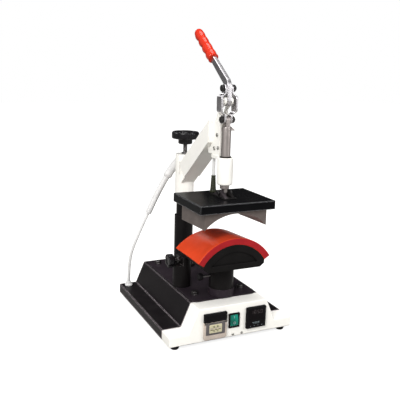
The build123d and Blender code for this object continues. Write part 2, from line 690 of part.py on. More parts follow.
def pressure_screw():
    """Threaded spindle that hangs in the sleeve cap and turns in the post's block."""
    spindle = upright(SCREW_RADIUS, 0, COLUMN_Y, SCREW_BOTTOM_Z, WHEEL_BOTTOM_Z + 6)
    collar_low = SLEEVE_TOP_Z + SIDE_PLAY
    spindle += upright(SCREW_RADIUS + 3.2, 0, COLUMN_Y, collar_low, collar_low + 3)
    under = SLEEVE_TOP_Z - SLEEVE_CAP - SIDE_PLAY
    spindle += upright(SCREW_RADIUS + 3.2, 0, COLUMN_Y, under - 3, under)
    return spindle


def lobed_disc(radius, lobes, bite, waist, soften=2.0):
    """Flat handwheel outline: a disc with round bites between its lobes."""
    disc = Circle(radius)
    for n in range(lobes):
        angle = math.radians(360 / lobes * (n + 0.5))
        place = Pos((radius + waist) * math.cos(angle), (radius + waist) * math.sin(angle))
        disc -= place * Circle(bite)
    return fillet(disc.vertices(), soften)


def pressure_wheel():
    """Lobed handwheel with a dished top and a waisted hub."""
    outline = lobed_disc(WHEEL_RIM_RADIUS, WHEEL_LOBES, 7.5, 4.5)
    rim = extrude(Pos(0, COLUMN_Y, WHEEL_RIM_Z) * outline, WHEEL_TOP_Z - WHEEL_RIM_Z)
    top_edges = rim.edges().group_by(Axis.Z)[-1]
    rim = chamfer(top_edges, RIM_BEVEL)
    bottom_edges = rim.edges().group_by(Axis.Z)[0]
    rim = chamfer(bottom_edges, RIM_BEVEL)
    hub = upright(WHEEL_HUB_RADIUS, 0, COLUMN_Y, WHEEL_BOTTOM_Z, WHEEL_RIM_Z)
    hub = chamfer(hub.edges().sort_by(Axis.Z)[0], 3.0)
    dish = upright(WHEEL_RIM_RADIUS - 9, 0, COLUMN_Y, WHEEL_TOP_Z - 3, WHEEL_TOP_Z + 1)
    spindle = upright(SCREW_RADIUS, 0, COLUMN_Y, WHEEL_BOTTOM_Z - 1, WHEEL_BOTTOM_Z + 6)
    return rim + hub - dish - spindle


# ================================================================ arm
def arm_line(y, front_z, rear_z):
    """Height at y of a straight edge between the arm's front end and the sleeve."""
    rear_y = COLUMN_Y - SOCKET_RADIUS
    share = (y - ARM_FRONT_Y) / (rear_y - ARM_FRONT_Y)
    return front_z + share * (rear_z - front_z)


def arm_outline():
    """Side view of the arm, with its rear end cut back below the sleeve's middle."""
    notch_y = COLUMN_Y - SOCKET_RADIUS - ARM_NOTCH_REACH + 12
    return polygon(
        (ARM_FRONT_Y, ARM_FRONT_BOTTOM_Z), (ARM_FRONT_Y, ARM_FRONT_TOP_Z),
        (COLUMN_Y - 14, arm_line(COLUMN_Y - 14, ARM_FRONT_TOP_Z, ARM_REAR_TOP_Z)),
        (COLUMN_Y - 14, ARM_NOTCH_TOP_Z - 4),
        (notch_y, arm_line(notch_y, ARM_FRONT_BOTTOM_Z, ARM_REAR_BOTTOM_Z)),
    )


def arm_box():
    """Welded box arm that rises forward from the sleeve."""
    half = ARM_WIDTH / 2
    outer = arm_outline()
    inner = offset(outer, -ARM_WALL, kind=Kind.INTERSECTION)
    shell = yz_solid(outer, -half, half) - yz_solid(inner, ARM_WALL - half, half - ARM_WALL)
    shell += yz_solid(arm_gusset_outline(), ARM_WALL - half, half - ARM_WALL)
    shell += yz_solid(head_carrier_outline(), ARM_WALL - half, half - ARM_WALL)
    shell -= upright(SOCKET_RADIUS, 0, COLUMN_Y, SLEEVE_BOTTOM_Z, SLEEVE_TOP_Z + 60)
    slot_half = HEAD_PLATE_INNER + HEAD_PLATE
    slot_top = ARM_FRONT_BOTTOM_Z + 8
    shell -= box(-slot_half, slot_half, ARM_FRONT_Y - 1, HEAD_PLATE_REAR_Y, slot_top - 68, slot_top)
    return shell - box(
        -slot_half, slot_half, ARM_FRONT_Y - 1, ARM_FRONT_Y + 2 * ARM_WALL, slot_top - 1, HEAD_SHOULDER_Z,
    )


def arm_gusset_outline():
    """Side view of the underside plate where it runs on past the side plates to the sleeve."""
    rear_y = COLUMN_Y - SOCKET_RADIUS + 4
    front_y = rear_y - ARM_NOTCH_REACH - 8
    low_front = arm_line(front_y, ARM_FRONT_BOTTOM_Z, ARM_REAR_BOTTOM_Z)
    low_rear = arm_line(rear_y, ARM_FRONT_BOTTOM_Z, ARM_REAR_BOTTOM_Z)
    rise = ARM_WALL * 1.25
    return polygon(
        (front_y, low_front), (front_y, low_front + rise),
        (rear_y, low_rear + rise), (rear_y, low_rear),
    )


def head_carrier_outline():
    """Side view of the block welded inside the arm that the head plates butt against."""
    y_low = HEAD_PLATE_REAR_Y
    y_high = y_low + HEAD_CARRIER_DEPTH
    low = [arm_line(y, ARM_FRONT_BOTTOM_Z, ARM_REAR_BOTTOM_Z) + ARM_WALL / 2 for y in (y_low, y_high)]
    high = [arm_line(y, ARM_FRONT_TOP_Z, ARM_REAR_TOP_Z) - ARM_WALL / 2 for y in (y_low, y_high)]
    return polygon((y_low, low[0]), (y_low, high[0]), (y_high, high[1]), (y_high, low[1]))


# ================================================================ head plates, guide and plunger
def head_plate_outline():
    """Side view of a head plate: a deep plate whose neck curls forward to the handle pivot."""
    rear_top = arm_line(HEAD_PLATE_REAR_Y, ARM_FRONT_TOP_Z, ARM_REAR_TOP_Z) - ARM_WALL * 1.35 - 1
    body = polygon(
        (HEAD_PLATE_REAR_Y, HEAD_PLATE_BOTTOM_Z), (HEAD_PLATE_FRONT_Y, HEAD_PLATE_BOTTOM_Z),
        (HEAD_PLATE_FRONT_Y, HANDLE_PIVOT_Z - 18), (PRESS_Y - 2, HANDLE_PIVOT_Z - LOBE_RADIUS + 0.4),
        (PRESS_Y + 3, HANDLE_PIVOT_Z + LOBE_RADIUS - 0.6), (HEAD_PLATE_FRONT_Y + 9, HANDLE_PIVOT_Z - 16),
        (HEAD_PLATE_FRONT_Y + 23, HEAD_SHOULDER_Z + 3), (ARM_FRONT_Y, HEAD_SHOULDER_Z),
        (HEAD_PLATE_REAR_Y, rear_top),
    )
    lobe = Pos(PRESS_Y, HANDLE_PIVOT_Z) * Circle(LOBE_RADIUS)
    return body + lobe


def head_screw_places():
    """Y and Z of the three screws through the head plates."""
    return [(HEAD_PLATE_FRONT_Y + y, HEAD_PLATE_BOTTOM_Z + z) for y, z in HEAD_SCREW_OFFSETS]


def head_plate(side):
    """One of the two head plates; side is -1 on the left and 1 on the right."""
    outer = HEAD_PLATE_INNER + HEAD_PLATE
    low, high = sorted((side * HEAD_PLATE_INNER, side * outer))
    plate = yz_solid(head_plate_outline(), low, high)
    boss_low, boss_high = sorted((side * outer, side * HUB_BOSS_REACH))
    plate += crosswise(LOBE_RADIUS - 2.6, PRESS_Y, HANDLE_PIVOT_Z, boss_low, boss_high)
    plate -= crosswise(BOLT_RADIUS, PRESS_Y, HANDLE_PIVOT_Z, -20, 20)
    for y, z in head_screw_places():
        plate -= crosswise(HEAD_SCREW_RADIUS, y, z, -20, 20)
    return plate


def handle_pin():
    """Pin of the handle pivot, held in the head plates."""
    reach = HUB_BOSS_REACH + 0.8
    pin = crosswise(BOLT_RADIUS, PRESS_Y, HANDLE_PIVOT_Z, -reach, reach)
    return chamfer(pin.edges().filter_by(GeomType.CIRCLE), 0.6)


def head_screws():
    """Three through screws that clamp the guide's lug between the head plates."""
    outer = HEAD_PLATE_INNER + HEAD_PLATE
    screws = []
    for y, z in head_screw_places():
        shank = crosswise(HEAD_SCREW_RADIUS, y, z, -outer, outer)
        head = crosswise(4.2, y, z, -outer - 2.2, -outer)
        nut = hexagon_across(8.0, y, z, outer, outer + 4.0)
        screws.append(shank + head + nut)
    return Compound(children=screws)


def guide_housing():
    """Pale guide cylinder with a foot under the head plates and a lug between them."""
    body = upright(GUIDE_RADIUS, 0, PRESS_Y, GUIDE_BOTTOM_Z, GUIDE_TOP_Z)
    body = fillet(body.edges().sort_by(Axis.Z)[0], 5.0)
    body = fillet(body.edges().sort_by(Axis.Z)[-1], 1.5)
    rear = HEATER_LEAD_Y - 9
    foot_half = HEAD_PLATE_INNER + HEAD_PLATE + 2.5
    body += box(-foot_half, foot_half, PRESS_Y, rear, GUIDE_TOP_Z - 6, HEAD_PLATE_BOTTOM_Z)
    lug_half = HEAD_PLATE_INNER
    body += box(-lug_half, lug_half, HEAD_PLATE_FRONT_Y, rear, GUIDE_TOP_Z - 6, GUIDE_LUG_TOP_Z)
    body -= upright(PLUNGER_RADIUS + BUSH_WALL, 0, PRESS_Y, GUIDE_BOTTOM_Z - 1, HEAD_PLATE_BOTTOM_Z + 40)
    for y, z in head_screw_places():
        body -= crosswise(HEAD_SCREW_RADIUS, y, z, -20, 20)
    return body


def guide_bush():
    """Bronze bush that the plunger runs in."""
    ring = upright(PLUNGER_RADIUS + BUSH_WALL, 0, PRESS_Y, GUIDE_BOTTOM_Z + 1, GUIDE_TOP_Z)
    return ring - upright(PLUNGER_RADIUS + RUNNING_FIT, 0, PRESS_Y, GUIDE_BOTTOM_Z, GUIDE_TOP_Z + 1)


def wiper_ring():
    """Dark wiper on top of the bush."""
    top = GUIDE_TOP_Z + WIPER_HEIGHT
    ring = upright(PLUNGER_RADIUS + WIPER_WALL, 0, PRESS_Y, GUIDE_TOP_Z, top)
    return ring - upright(PLUNGER_RADIUS + RUNNING_FIT, 0, PRESS_Y, GUIDE_TOP_Z - 1, top + 1)


def stop_lug_outline():
    """Front view of the wedge on the plunger's right that stops the stroke above the guide."""
    high = PLUNGER_TOP_Z + 1
    low = high - STOP_HEIGHT
    return polygon(
        (HANDLE_HALF - 1, low), (STOP_REACH, low), (STOP_REACH, low + 1.5),
        (PLUNGER_RADIUS - 1, high), (HANDLE_HALF - 1, high),
    )


def plunger():
    """Steel push rod with a flat tongue at each end and a stop lug."""
    rod = upright(PLUNGER_RADIUS, 0, PRESS_Y, PLUNGER_BOTTOM_Z, PLUNGER_TOP_Z)
    rod = chamfer(rod.edges().filter_by(GeomType.CIRCLE), 1.2)
    flat = math.sqrt(PLUNGER_RADIUS ** 2 - HANDLE_HALF ** 2) - 0.6
    upper = box(-HANDLE_HALF, HANDLE_HALF, PRESS_Y - flat, PRESS_Y + flat, PLUNGER_TOP_Z - 2, LOWER_PIVOT_Z)
    upper += crosswise(flat, PRESS_Y, LOWER_PIVOT_Z, -HANDLE_HALF, HANDLE_HALF)
    lower_flat = YOKE_TIP_RADIUS - 0.8
    lower = box(
        -TONGUE_HALF, TONGUE_HALF, PRESS_Y - lower_flat, PRESS_Y + lower_flat,
        YOKE_AXIS_Z, PLUNGER_BOTTOM_Z + 2,
    )
    lower += crosswise(lower_flat, PRESS_Y, YOKE_AXIS_Z, -TONGUE_HALF, TONGUE_HALF)
    lug = xz_solid(stop_lug_outline(), PRESS_Y - STOP_HALF, PRESS_Y + STOP_HALF)
    body = rod + upper + lower + lug
    return body - crosswise(YOKE_BOLT_RADIUS + RUNNING_FIT, PRESS_Y, YOKE_AXIS_Z, -20, 20)


# ================================================================ toggle
def link_bow():
    """Front view of the right link: straight ends and a bowed middle."""
    low = LOWER_PIVOT_Z - LINK_END_RADIUS
    high = UPPER_PIVOT_Z + LINK_END_RADIUS
    thick = LINK_THICKNESS
    outer_flat = LINK_FLAT - 2.0
    inner = [
        (LINK_END_INNER, low), (LINK_END_INNER, LOWER_PIVOT_Z + LINK_FLAT),
        (LINK_BOW_INNER, LOWER_PIVOT_Z + LINK_FLAT + LINK_RAMP),
        (LINK_BOW_INNER, UPPER_PIVOT_Z - LINK_FLAT - LINK_RAMP),
        (LINK_END_INNER, UPPER_PIVOT_Z - LINK_FLAT), (LINK_END_INNER, high),
    ]
    outer = [
        (LINK_END_INNER + thick, high), (LINK_END_INNER + thick, UPPER_PIVOT_Z - outer_flat),
        (LINK_BOW_INNER + thick, UPPER_PIVOT_Z - outer_flat - LINK_RAMP),
        (LINK_BOW_INNER + thick, LOWER_PIVOT_Z + outer_flat + LINK_RAMP),
        (LINK_END_INNER + thick, LOWER_PIVOT_Z + outer_flat), (LINK_END_INNER + thick, low),
    ]
    bow = polygon(*inner, *outer)
    bends = bow.vertices().filter_by(lambda v: low + 5 < v.Y < high - 5)
    return fillet(bends, 3.0)


def link_side():
    """Side view of a link: round ends and a fuller middle."""
    ends = [Pos(PRESS_Y, z) * Circle(LINK_END_RADIUS) for z in (LOWER_PIVOT_Z, UPPER_PIVOT_Z)]
    middle = (LOWER_PIVOT_Z + UPPER_PIVOT_Z) / 2
    waist = LINK_FLAT + LINK_RAMP * 0.7
    belly = LINK_FLAT + LINK_RAMP + 3
    narrow = LINK_END_RADIUS
    blade = polygon(
        (PRESS_Y - narrow, LOWER_PIVOT_Z), (PRESS_Y - narrow, LOWER_PIVOT_Z + waist),
        (PRESS_Y - LINK_BELLY, LOWER_PIVOT_Z + belly), (PRESS_Y - LINK_BELLY, UPPER_PIVOT_Z - belly),
        (PRESS_Y - narrow, UPPER_PIVOT_Z - waist), (PRESS_Y - narrow, UPPER_PIVOT_Z),
        (PRESS_Y + narrow, UPPER_PIVOT_Z), (PRESS_Y + narrow, UPPER_PIVOT_Z - waist),
        (PRESS_Y + LINK_BELLY, UPPER_PIVOT_Z - belly), (PRESS_Y + LINK_BELLY, LOWER_PIVOT_Z + belly),
        (PRESS_Y + narrow, LOWER_PIVOT_Z + waist), (PRESS_Y + narrow, LOWER_PIVOT_Z),
    )
    blade = fillet(blade.vertices().filter_by(lambda v: abs(v.Y - middle) < LINK_LENGTH / 2 - 5), 4.0)
    return blade + ends[0] + ends[1]


def link(side):
    """One bowed link; side is -1 on the left and 1 on the right."""
    bowed = xz_solid(link_bow(), PRESS_Y - 30, PRESS_Y + 30)
    right = bowed & yz_solid(link_side(), 0, 40)
    right -= crosswise(BOLT_RADIUS + RUNNING_FIT, PRESS_Y, UPPER_PIVOT_Z, 0, 40)
    right -= crosswise(BOLT_RADIUS, PRESS_Y, LOWER_PIVOT_Z, 0, 40)
    return right if side > 0 else mirror(right, Plane.YZ)


def link_bolt():
    """Upper bolt through both links and the handle, with its washer and nut."""
    seat = LINK_END_INNER + LINK_THICKNESS + SIDE_PLAY
    shank = crosswise(BOLT_RADIUS, PRESS_Y, UPPER_PIVOT_Z, -seat, seat + 8.5)
    head = hexagon_across(BOLT_HEAD_WIDTH, PRESS_Y, UPPER_PIVOT_Z, -seat - BOLT_HEAD_HEIGHT, -seat)
    nut = hexagon_across(BOLT_HEAD_WIDTH, PRESS_Y, UPPER_PIVOT_Z, seat, seat + 6.5)
    return shank + head + nut


def both_sides(build):
    """A left and a right piece as two solids of one node."""
    return Compound(children=[build(-1), build(1)])


def lower_stud(side):
    """Short bolt held in a link's lower eye; the left one has the head, the right one the nut."""
    seat = LINK_END_INNER + LINK_THICKNESS
    proud = 0.0 if side < 0 else 2.2
    tall = BOLT_HEAD_HEIGHT if side < 0 else 6.5
    low, high = sorted((side * LINK_END_INNER, side * (seat + tall + proud)))
    shank = crosswise(BOLT_RADIUS, PRESS_Y, LOWER_PIVOT_Z, low, high)
    low, high = sorted((side * seat, side * (seat + tall)))
    return shank + hexagon_across(BOLT_HEAD_WIDTH, PRESS_Y, LOWER_PIVOT_Z, low, high)


def handle_bend():
    """Y and Z of the bend in the handle."""
    return PRESS_Y, HANDLE_PIVOT_Z + HANDLE_BEND_RISE


def along_handle(distance, aside=0.0):
    """Point on the upper bar's middle line, distance from the bend, aside towards the front and top."""
    lean = math.radians(HANDLE_LEAN)
    y, z = handle_bend()
    return (
        y + distance * math.cos(lean) - aside * math.sin(lean),
        z + distance * math.sin(lean) + aside * math.cos(lean),
    )


def handle_bar():
    """Forged handle: a hub at the pivot, an eye for the links and a bar that leans back."""
    hub = Pos(PRESS_Y, HANDLE_PIVOT_Z) * Circle(HANDLE_HUB_RADIUS)
    bend = Pos(*handle_bend()) * Circle(HANDLE_BEND_RADIUS)
    tip = Pos(*along_handle(HANDLE_REACH - 16)) * Circle(HANDLE_TIP_RADIUS)
    lower = make_hull((hub + Sketch()).edges() + bend.edges())
    upper = make_hull(bend.edges() + tip.edges())
    outline = lower + upper
    bar = yz_solid(outline, -HANDLE_HALF, HANDLE_HALF)
    bar -= crosswise(BOLT_RADIUS + RUNNING_FIT, PRESS_Y, HANDLE_PIVOT_Z, -20, 20)
    bar -= crosswise(BOLT_RADIUS, PRESS_Y, UPPER_PIVOT_Z, -20, 20)
    return bar


def grip():
    """Dipped hand grip with finger swells on its lower side, closed over the bar's end."""
    lean = math.radians(HANDLE_LEAN)
    along = Vector(0, math.cos(lean), math.sin(lean))
    start = HANDLE_REACH - GRIP_LENGTH
    stations = 17
    sections = []
    for n in range(stations):
        share = n / (stations - 1)
        wave = math.cos(2 * math.pi * 4 * share)
        radius = GRIP_RADIUS - 0.9 * wave * (1 - 0.2 * share)
        if n == 0:
            radius = GRIP_RADIUS + 0.6
        if n == stations - 1:
            radius = GRIP_RADIUS * 0.72
        aside = -(radius - GRIP_RADIUS + 0.9)
        y, z = along_handle(start + share * (GRIP_LENGTH - 5), aside)
        plane = Plane(origin=(0, y, z), x_dir=(1, 0, 0), z_dir=along)
        sections.append(plane * Circle(radius))
    body = loft(sections)
    y, z = along_handle(HANDLE_REACH - 8.5, -0.4)
    body += Pos(0, y, z) * Sphere(GRIP_RADIUS * 0.78)
    return body - handle_bar()


# ================================================================ lower form
def crowned(crown, half_width, edge_z):
    """Arc over the form through both edges and the crown."""
    return ThreePointArc((-half_width, edge_z), (0, crown), (half_width, edge_z))


def arc_radius(crown, half_width, edge_z):
    """Radius of the arc through both edges and the crown."""
    rise = crown - edge_z
    return (half_width ** 2 + rise ** 2) / (2 * rise)


def pad_inner(crown, thickness):
    """Half width and edge height of the arc that lies thickness inside the pad's top."""
    radius = arc_radius(crown, PAD_HALF_WIDTH, PAD_EDGE_Z)
    centre = crown - radius
    share = (radius - thickness) / radius
    return PAD_HALF_WIDTH * share, centre + (PAD_EDGE_Z - centre) * share


def pad_section(crown):
    """Front view of the pad at one end."""
    half, edge_z = pad_inner(crown, PAD_THICKNESS)
    top = crowned(crown, PAD_HALF_WIDTH, PAD_EDGE_Z)
    under = crowned(crown - PAD_THICKNESS, half, edge_z)
    ends = [Line(top @ 0, under @ 0), Line(top @ 1, under @ 1)]
    return make_face([top, under] + ends)


def at_y(face, y):
    """Stand a face drawn as (X, Z) upright at y."""
    return Plane(origin=(0, y, 0), x_dir=(1, 0, 0), z_dir=(0, -1, 0)) * face


def silicone_pad():
    """Arched silicone pad; its crown falls towards the back."""
    front = at_y(pad_section(PAD_CROWN_FRONT_Z), FORM_MID_Y - PAD_DEPTH / 2)
    rear = at_y(pad_section(PAD_CROWN_REAR_Z), FORM_MID_Y + PAD_DEPTH / 2)
    return loft([front, rear], ruled=True)


def form_section(crown):
    """Front view of the cast form under the pad."""
    depth = PAD_THICKNESS + PAD_SEAT_GAP
    half, edge_z = pad_inner(crown, depth)
    top = crowned(crown - depth, half, edge_z)
    sides = Polyline(
        top @ 0, (-FORM_CHIN_HALF_WIDTH, FORM_CHIN_Z), (-FORM_FOOT_HALF_WIDTH, FORM_BOTTOM_Z),
        (FORM_FOOT_HALF_WIDTH, FORM_BOTTOM_Z), (FORM_CHIN_HALF_WIDTH, FORM_CHIN_Z), top @ 1,
    )
    return make_face([top, sides])


def pocket_section(crown):
    """Front view of the shallow pocket inside the form's rim."""
    radius = arc_radius(crown, PAD_HALF_WIDTH, PAD_EDGE_Z)
    floor_z = FORM_BOTTOM_Z + FORM_RIM * 0.7
    disc = Pos(0, crown - radius) * Circle(radius - PAD_THICKNESS - FORM_RIM)
    above = Pos(0, floor_z + radius) * Rectangle(4 * radius, 2 * radius)
    moon = disc & above
    return fillet(moon.vertices(), 4.0)


def lower_form():
    """Cast form with a raised rim around a shallow pocket at each end."""
    y_front = FORM_MID_Y - FORM_DEPTH / 2
    y_rear = FORM_MID_Y + FORM_DEPTH / 2
    front = at_y(form_section(PAD_CROWN_FRONT_Z), y_front)
    rear = at_y(form_section(PAD_CROWN_REAR_Z), y_rear)
    body = loft([front, rear], ruled=True)
    body -= xz_solid(pocket_section(PAD_CROWN_FRONT_Z), y_front - 1, y_front + FORM_POCKET_DEPTH)
    body -= xz_solid(pocket_section(PAD_CROWN_REAR_Z), y_rear - FORM_POCKET_DEPTH, y_rear + 1)
    return body


def pedestal():
    """Tube that carries the form, standing in its collar."""
    tube = upright(PEDESTAL_RADIUS, 0, FORM_MID_Y, DECK_TOP_Z, FORM_BOTTOM_Z)
    bore = upright(PEDESTAL_RADIUS - PEDESTAL_WALL, 0, FORM_MID_Y, DECK_TOP_Z - 1, FORM_BOTTOM_Z - 8)
    hole = extrude(form_knob_plane().offset(1) * Circle(FORM_SCREW_RADIUS + RUNNING_FIT), -3 * PEDESTAL_WALL)
    return tube - bore - hole


def pedestal_collar():
    """Collar that seats the pedestal on the deck."""
    top = DECK_TOP_Z + COLLAR_HEIGHT
    ring = upright(COLLAR_RADIUS, 0, FORM_MID_Y, DECK_TOP_Z, top)
    ring = chamfer(ring.edges().sort_by(Axis.Z)[-1], 0.8)
    return ring - upright(PEDESTAL_RADIUS, 0, FORM_MID_Y, DECK_TOP_Z - 1, top + 1)


def form_knob_plane():
    """Plane on the pedestal's left side, its normal along the lock screw."""
    return Plane(origin=(-PEDESTAL_RADIUS, FORM_MID_Y, FORM_KNOB_Z), x_dir=(0, 0, 1), z_dir=(-1, 0, 0))


def form_knob():
    """Lock screw of the form with its small ribbed knob."""
    face = form_knob_plane()
    wall = PEDESTAL_WALL
    screw = extrude(face.offset(-wall) * Circle(FORM_SCREW_RADIUS), wall + FORM_SCREW_SHOWS)
    ribbed = lobed_disc(FORM_KNOB_RADIUS, 8, 1.6, 0.9, 0.4)
    head = extrude(face.offset(FORM_SCREW_SHOWS) * ribbed, FORM_KNOB_THICKNESS)
    return screw + head


# ================================================================ side post
def star_knob_plane():
    """Plane on the lug's flat face, its normal along the star knob's stud."""
    lug_face = (SIDE_POST_X - POST_LUG_FACE, SIDE_POST_Y, STAR_KNOB_Z)
    return Plane(origin=lug_face, x_dir=(0, 0, 1), z_dir=(-1, 0, 0))


def side_post():
    """Round post beside the form, cut back at its top to a ledge and a lug for the star knob's stud."""
    top = DECK_TOP_Z + SIDE_POST_HEIGHT
    radius = SIDE_POST_RADIUS
    body = upright(radius, SIDE_POST_X, SIDE_POST_Y, DECK_TOP_Z, top)
    body = fillet(body.edges().sort_by(Axis.Z)[-1], 2.0)
    body -= box(
        SIDE_POST_X - radius - 1, SIDE_POST_X - POST_LUG_FACE,
        SIDE_POST_Y - radius - 1, SIDE_POST_Y + radius + 1, STAR_KNOB_Z - POST_LEDGE_DROP, top + 1,
    )
    hole = star_knob_plane().offset(-STAR_STUD_HIDDEN - 1) * Circle(STAR_STUD_RADIUS + RUNNING_FIT)
    return body - extrude(hole, STAR_STUD_HIDDEN + 2)


def star_knob():
    """Star knob that turns with its stud."""
    face = star_knob_plane().offset(STAR_STUD_SHOWS)
    star = extrude(face * lobed_disc(STAR_KNOB_RADIUS, STAR_KNOB_LOBES, 5.5, 2.0), STAR_KNOB_THICKNESS)
    hub = extrude(face.offset(-4) * Circle(8.0), 4)
    bore = extrude(face.offset(-5) * Circle(STAR_STUD_RADIUS), STAR_KNOB_THICKNESS)
    return star + hub - bore


def star_stud():
    """Steel stud of the star knob with its jam nut."""
    face = star_knob_plane()
    reach = STAR_STUD_SHOWS + STAR_KNOB_THICKNESS - 5
    stud = extrude(face.offset(-STAR_STUD_HIDDEN) * Circle(STAR_STUD_RADIUS), STAR_STUD_HIDDEN + reach)
    nut_face = face.offset(SIDE_PLAY) * RegularPolygon(STAR_NUT_WIDTH / 2, 6, major_radius=False)
    nut = extrude(nut_face, STAR_NUT_HEIGHT)
    return stud + nut


# ================================================================ hot head
def platen_section(crown, y_share):
    """Front view of the platen: flat top and an arch that matches the pad."""
    radius = arc_radius(crown, PAD_HALF_WIDTH, PAD_EDGE_Z)
    centre = crown - radius + LIFT
    half = PLATEN_HALF_WIDTH
    edge_z = centre + math.sqrt(radius ** 2 - half ** 2)
    arch = ThreePointArc((-half, edge_z), (0, centre + radius), (half, edge_z))
    sides = Polyline(arch @ 0, (-half, PLATEN_TOP_Z), (half, PLATEN_TOP_Z), arch @ 1)
    return make_face([arch, sides])


def hot_platen():
    """Arched aluminium platen that presses the cap onto the pad."""
    front = at_y(platen_section(PAD_CROWN_FRONT_Z, 0), PRESS_Y - PLATEN_DEPTH / 2)
    rear = at_y(platen_section(PAD_CROWN_REAR_Z, 1), PRESS_Y + PLATEN_DEPTH / 2)
    return loft([front, rear], ruled=True)


def heating_element():
    """Flat heater clamped on the platen."""
    half_x = PLATEN_HALF_WIDTH - 6
    half_y = PLATEN_DEPTH / 2 - 6
    high = PLATEN_TOP_Z + HEATER_THICKNESS
    return box(-half_x, half_x, PRESS_Y - half_y, PRESS_Y + half_y, PLATEN_TOP_Z, high)


def insulation():
    """Insulating board between the heater and the cover."""
    half_x = PLATEN_HALF_WIDTH + 4
    half_y = PLATEN_DEPTH / 2 + 2
    low = PLATEN_TOP_Z + HEATER_THICKNESS
    high = HEAD_COVER_TOP_Z - HEAD_SHEET
    return box(-half_x, half_x, PRESS_Y - half_y, PRESS_Y + half_y, low, high)


def head_cover():
    """Folded dark cover over the heater, open below."""
    half_x = HEAD_COVER_WIDTH / 2
    half_y = HEAD_COVER_DEPTH / 2
    skin = box(-half_x, half_x, COVER_Y - half_y, COVER_Y + half_y, HEAD_COVER_BOTTOM_Z, HEAD_COVER_TOP_Z)
    skin = fillet(skin.edges().filter_by(Axis.Z), 2.0)
    skin = fillet(skin.faces().sort_by(Axis.Z)[-1].edges(), 1.4)
    t = HEAD_SHEET
    skin -= box(
        -half_x + t, half_x - t, COVER_Y - half_y + t, COVER_Y + half_y - t,
        HEAD_COVER_BOTTOM_Z - 1, HEAD_COVER_TOP_Z - t,
    )
    skin -= upright(LEAD_RADIUS + 0.3, 0, HEATER_LEAD_Y, HEAD_COVER_TOP_Z - 4, HEAD_COVER_TOP_Z + 4)
    return skin


def cover_skirt():
    """Sheet frame that closes the cover around the platen."""
    t = HEAD_SHEET
    half_x = HEAD_COVER_WIDTH / 2 - t
    half_y = HEAD_COVER_DEPTH / 2 - t
    low = HEAD_COVER_BOTTOM_Z
    sheet = box(-half_x, half_x, COVER_Y - half_y, COVER_Y + half_y, low, low + t)
    hole_x = PLATEN_HALF_WIDTH + PANEL_PLAY
    hole_y = PLATEN_DEPTH / 2 + PANEL_PLAY
    return sheet - box(-hole_x, hole_x, PRESS_Y - hole_y, PRESS_Y + hole_y, low - 1, low + t + 1)


def platen_yoke():
    """Yoke on the cover: a base plate and two lugs for the pivot bolt."""
    inner = TONGUE_HALF + SIDE_PLAY
    outer = inner + YOKE_LUG
    half = YOKE_LENGTH / 2
    base_top = HEAD_COVER_TOP_Z + YOKE_BASE
    base = box(-outer - 4, outer + 4, PRESS_Y - half - 2, PRESS_Y + half + 2, HEAD_COVER_TOP_Z, base_top)
    tip = Pos(PRESS_Y, YOKE_AXIS_Z) * Circle(YOKE_TIP_RADIUS)
    foot = polygon(
        (PRESS_Y - half, base_top), (PRESS_Y + half, base_top),
        (PRESS_Y + half - 2, base_top + 1.5), (PRESS_Y - half + 2, base_top + 1.5),
    )
    lug = make_hull(tip.edges() + foot.edges())
    yoke = base + yz_solid(lug, inner, outer) + yz_solid(lug, -outer, -inner)
    return yoke - crosswise(YOKE_BOLT_RADIUS, PRESS_Y, YOKE_AXIS_Z, -20, 20)


def yoke_bolt():
    """Pivot bolt of the hot head."""
    outer = TONGUE_HALF + SIDE_PLAY + YOKE_LUG
    shank = crosswise(YOKE_BOLT_RADIUS, PRESS_Y, YOKE_AXIS_Z, -outer, outer + 6.5)
    head = hexagon_across(YOKE_BOLT_HEAD, PRESS_Y, YOKE_AXIS_Z, -outer - 4.2, -outer)
    nut = hexagon_across(YOKE_BOLT_HEAD, PRESS_Y, YOKE_AXIS_Z, outer, outer + 5.0)
    return shank + head + nut


def heater_boot():
    """Tapered rubber boot where the heater lead enters the cover."""
    base = HEAD_COVER_TOP_Z
    profile = polygon(
        (LEAD_RADIUS, base), (BOOT_RADIUS, base), (BOOT_RADIUS, base + 5), (BOOT_RADIUS - 0.8, base + 10),
        (LEAD_RADIUS + 1.2, base + BOOT_HEIGHT), (LEAD_RADIUS, base + BOOT_HEIGHT),
    )
    return Pos(0, HEATER_LEAD_Y, 0) * revolve(Plane.XZ * profile, Axis.Z)


def heater_lead():
    """Straight lead of the heater, free to slide up between the head plates."""
    return upright(LEAD_RADIUS, 0, HEATER_LEAD_Y, HEAD_COVER_TOP_Z - 1.4, HEATER_LEAD_TOP_Z)


# ================================================================ power lead between housing and arm
LEAD_POINTS = [
    (LEAD_X, LEAD_Y, LEAD_END_LOW_Z),
    (LEAD_X, LEAD_Y, LEAD_RISE_Z),
    (LEAD_X + LEAD_KNEE_SHIFT, LEAD_Y, LEAD_KNEE_Z),
    (ELBOW_X, LEAD_Y, ELBOW_Z),
    (0.0, COLUMN_Y + SOCKET_RADIUS - 3.0, LEAD_END_TOP_Z),
]


def lead_route():
    """Points of the power lead and its bend radii."""
    corners = zip(LEAD_POINTS, LEAD_POINTS[1:], LEAD_POINTS[2:])
    return LEAD_POINTS, [bend_radius(*corner) for corner in corners]


def power_lead():
    """Lead from the ledge gland up to the back of the arm's sleeve."""
    return swept_tube(*lead_route(), LEAD_RADIUS)


def elbow_mouth():
    """Point and direction where the outer sleeve enters the elbow."""
    a = Vector(*LEAD_POINTS[2])
    b = Vector(*LEAD_POINTS[3])
    along = (b - a).normalized()
    return b - along * ELBOW_REACH, along


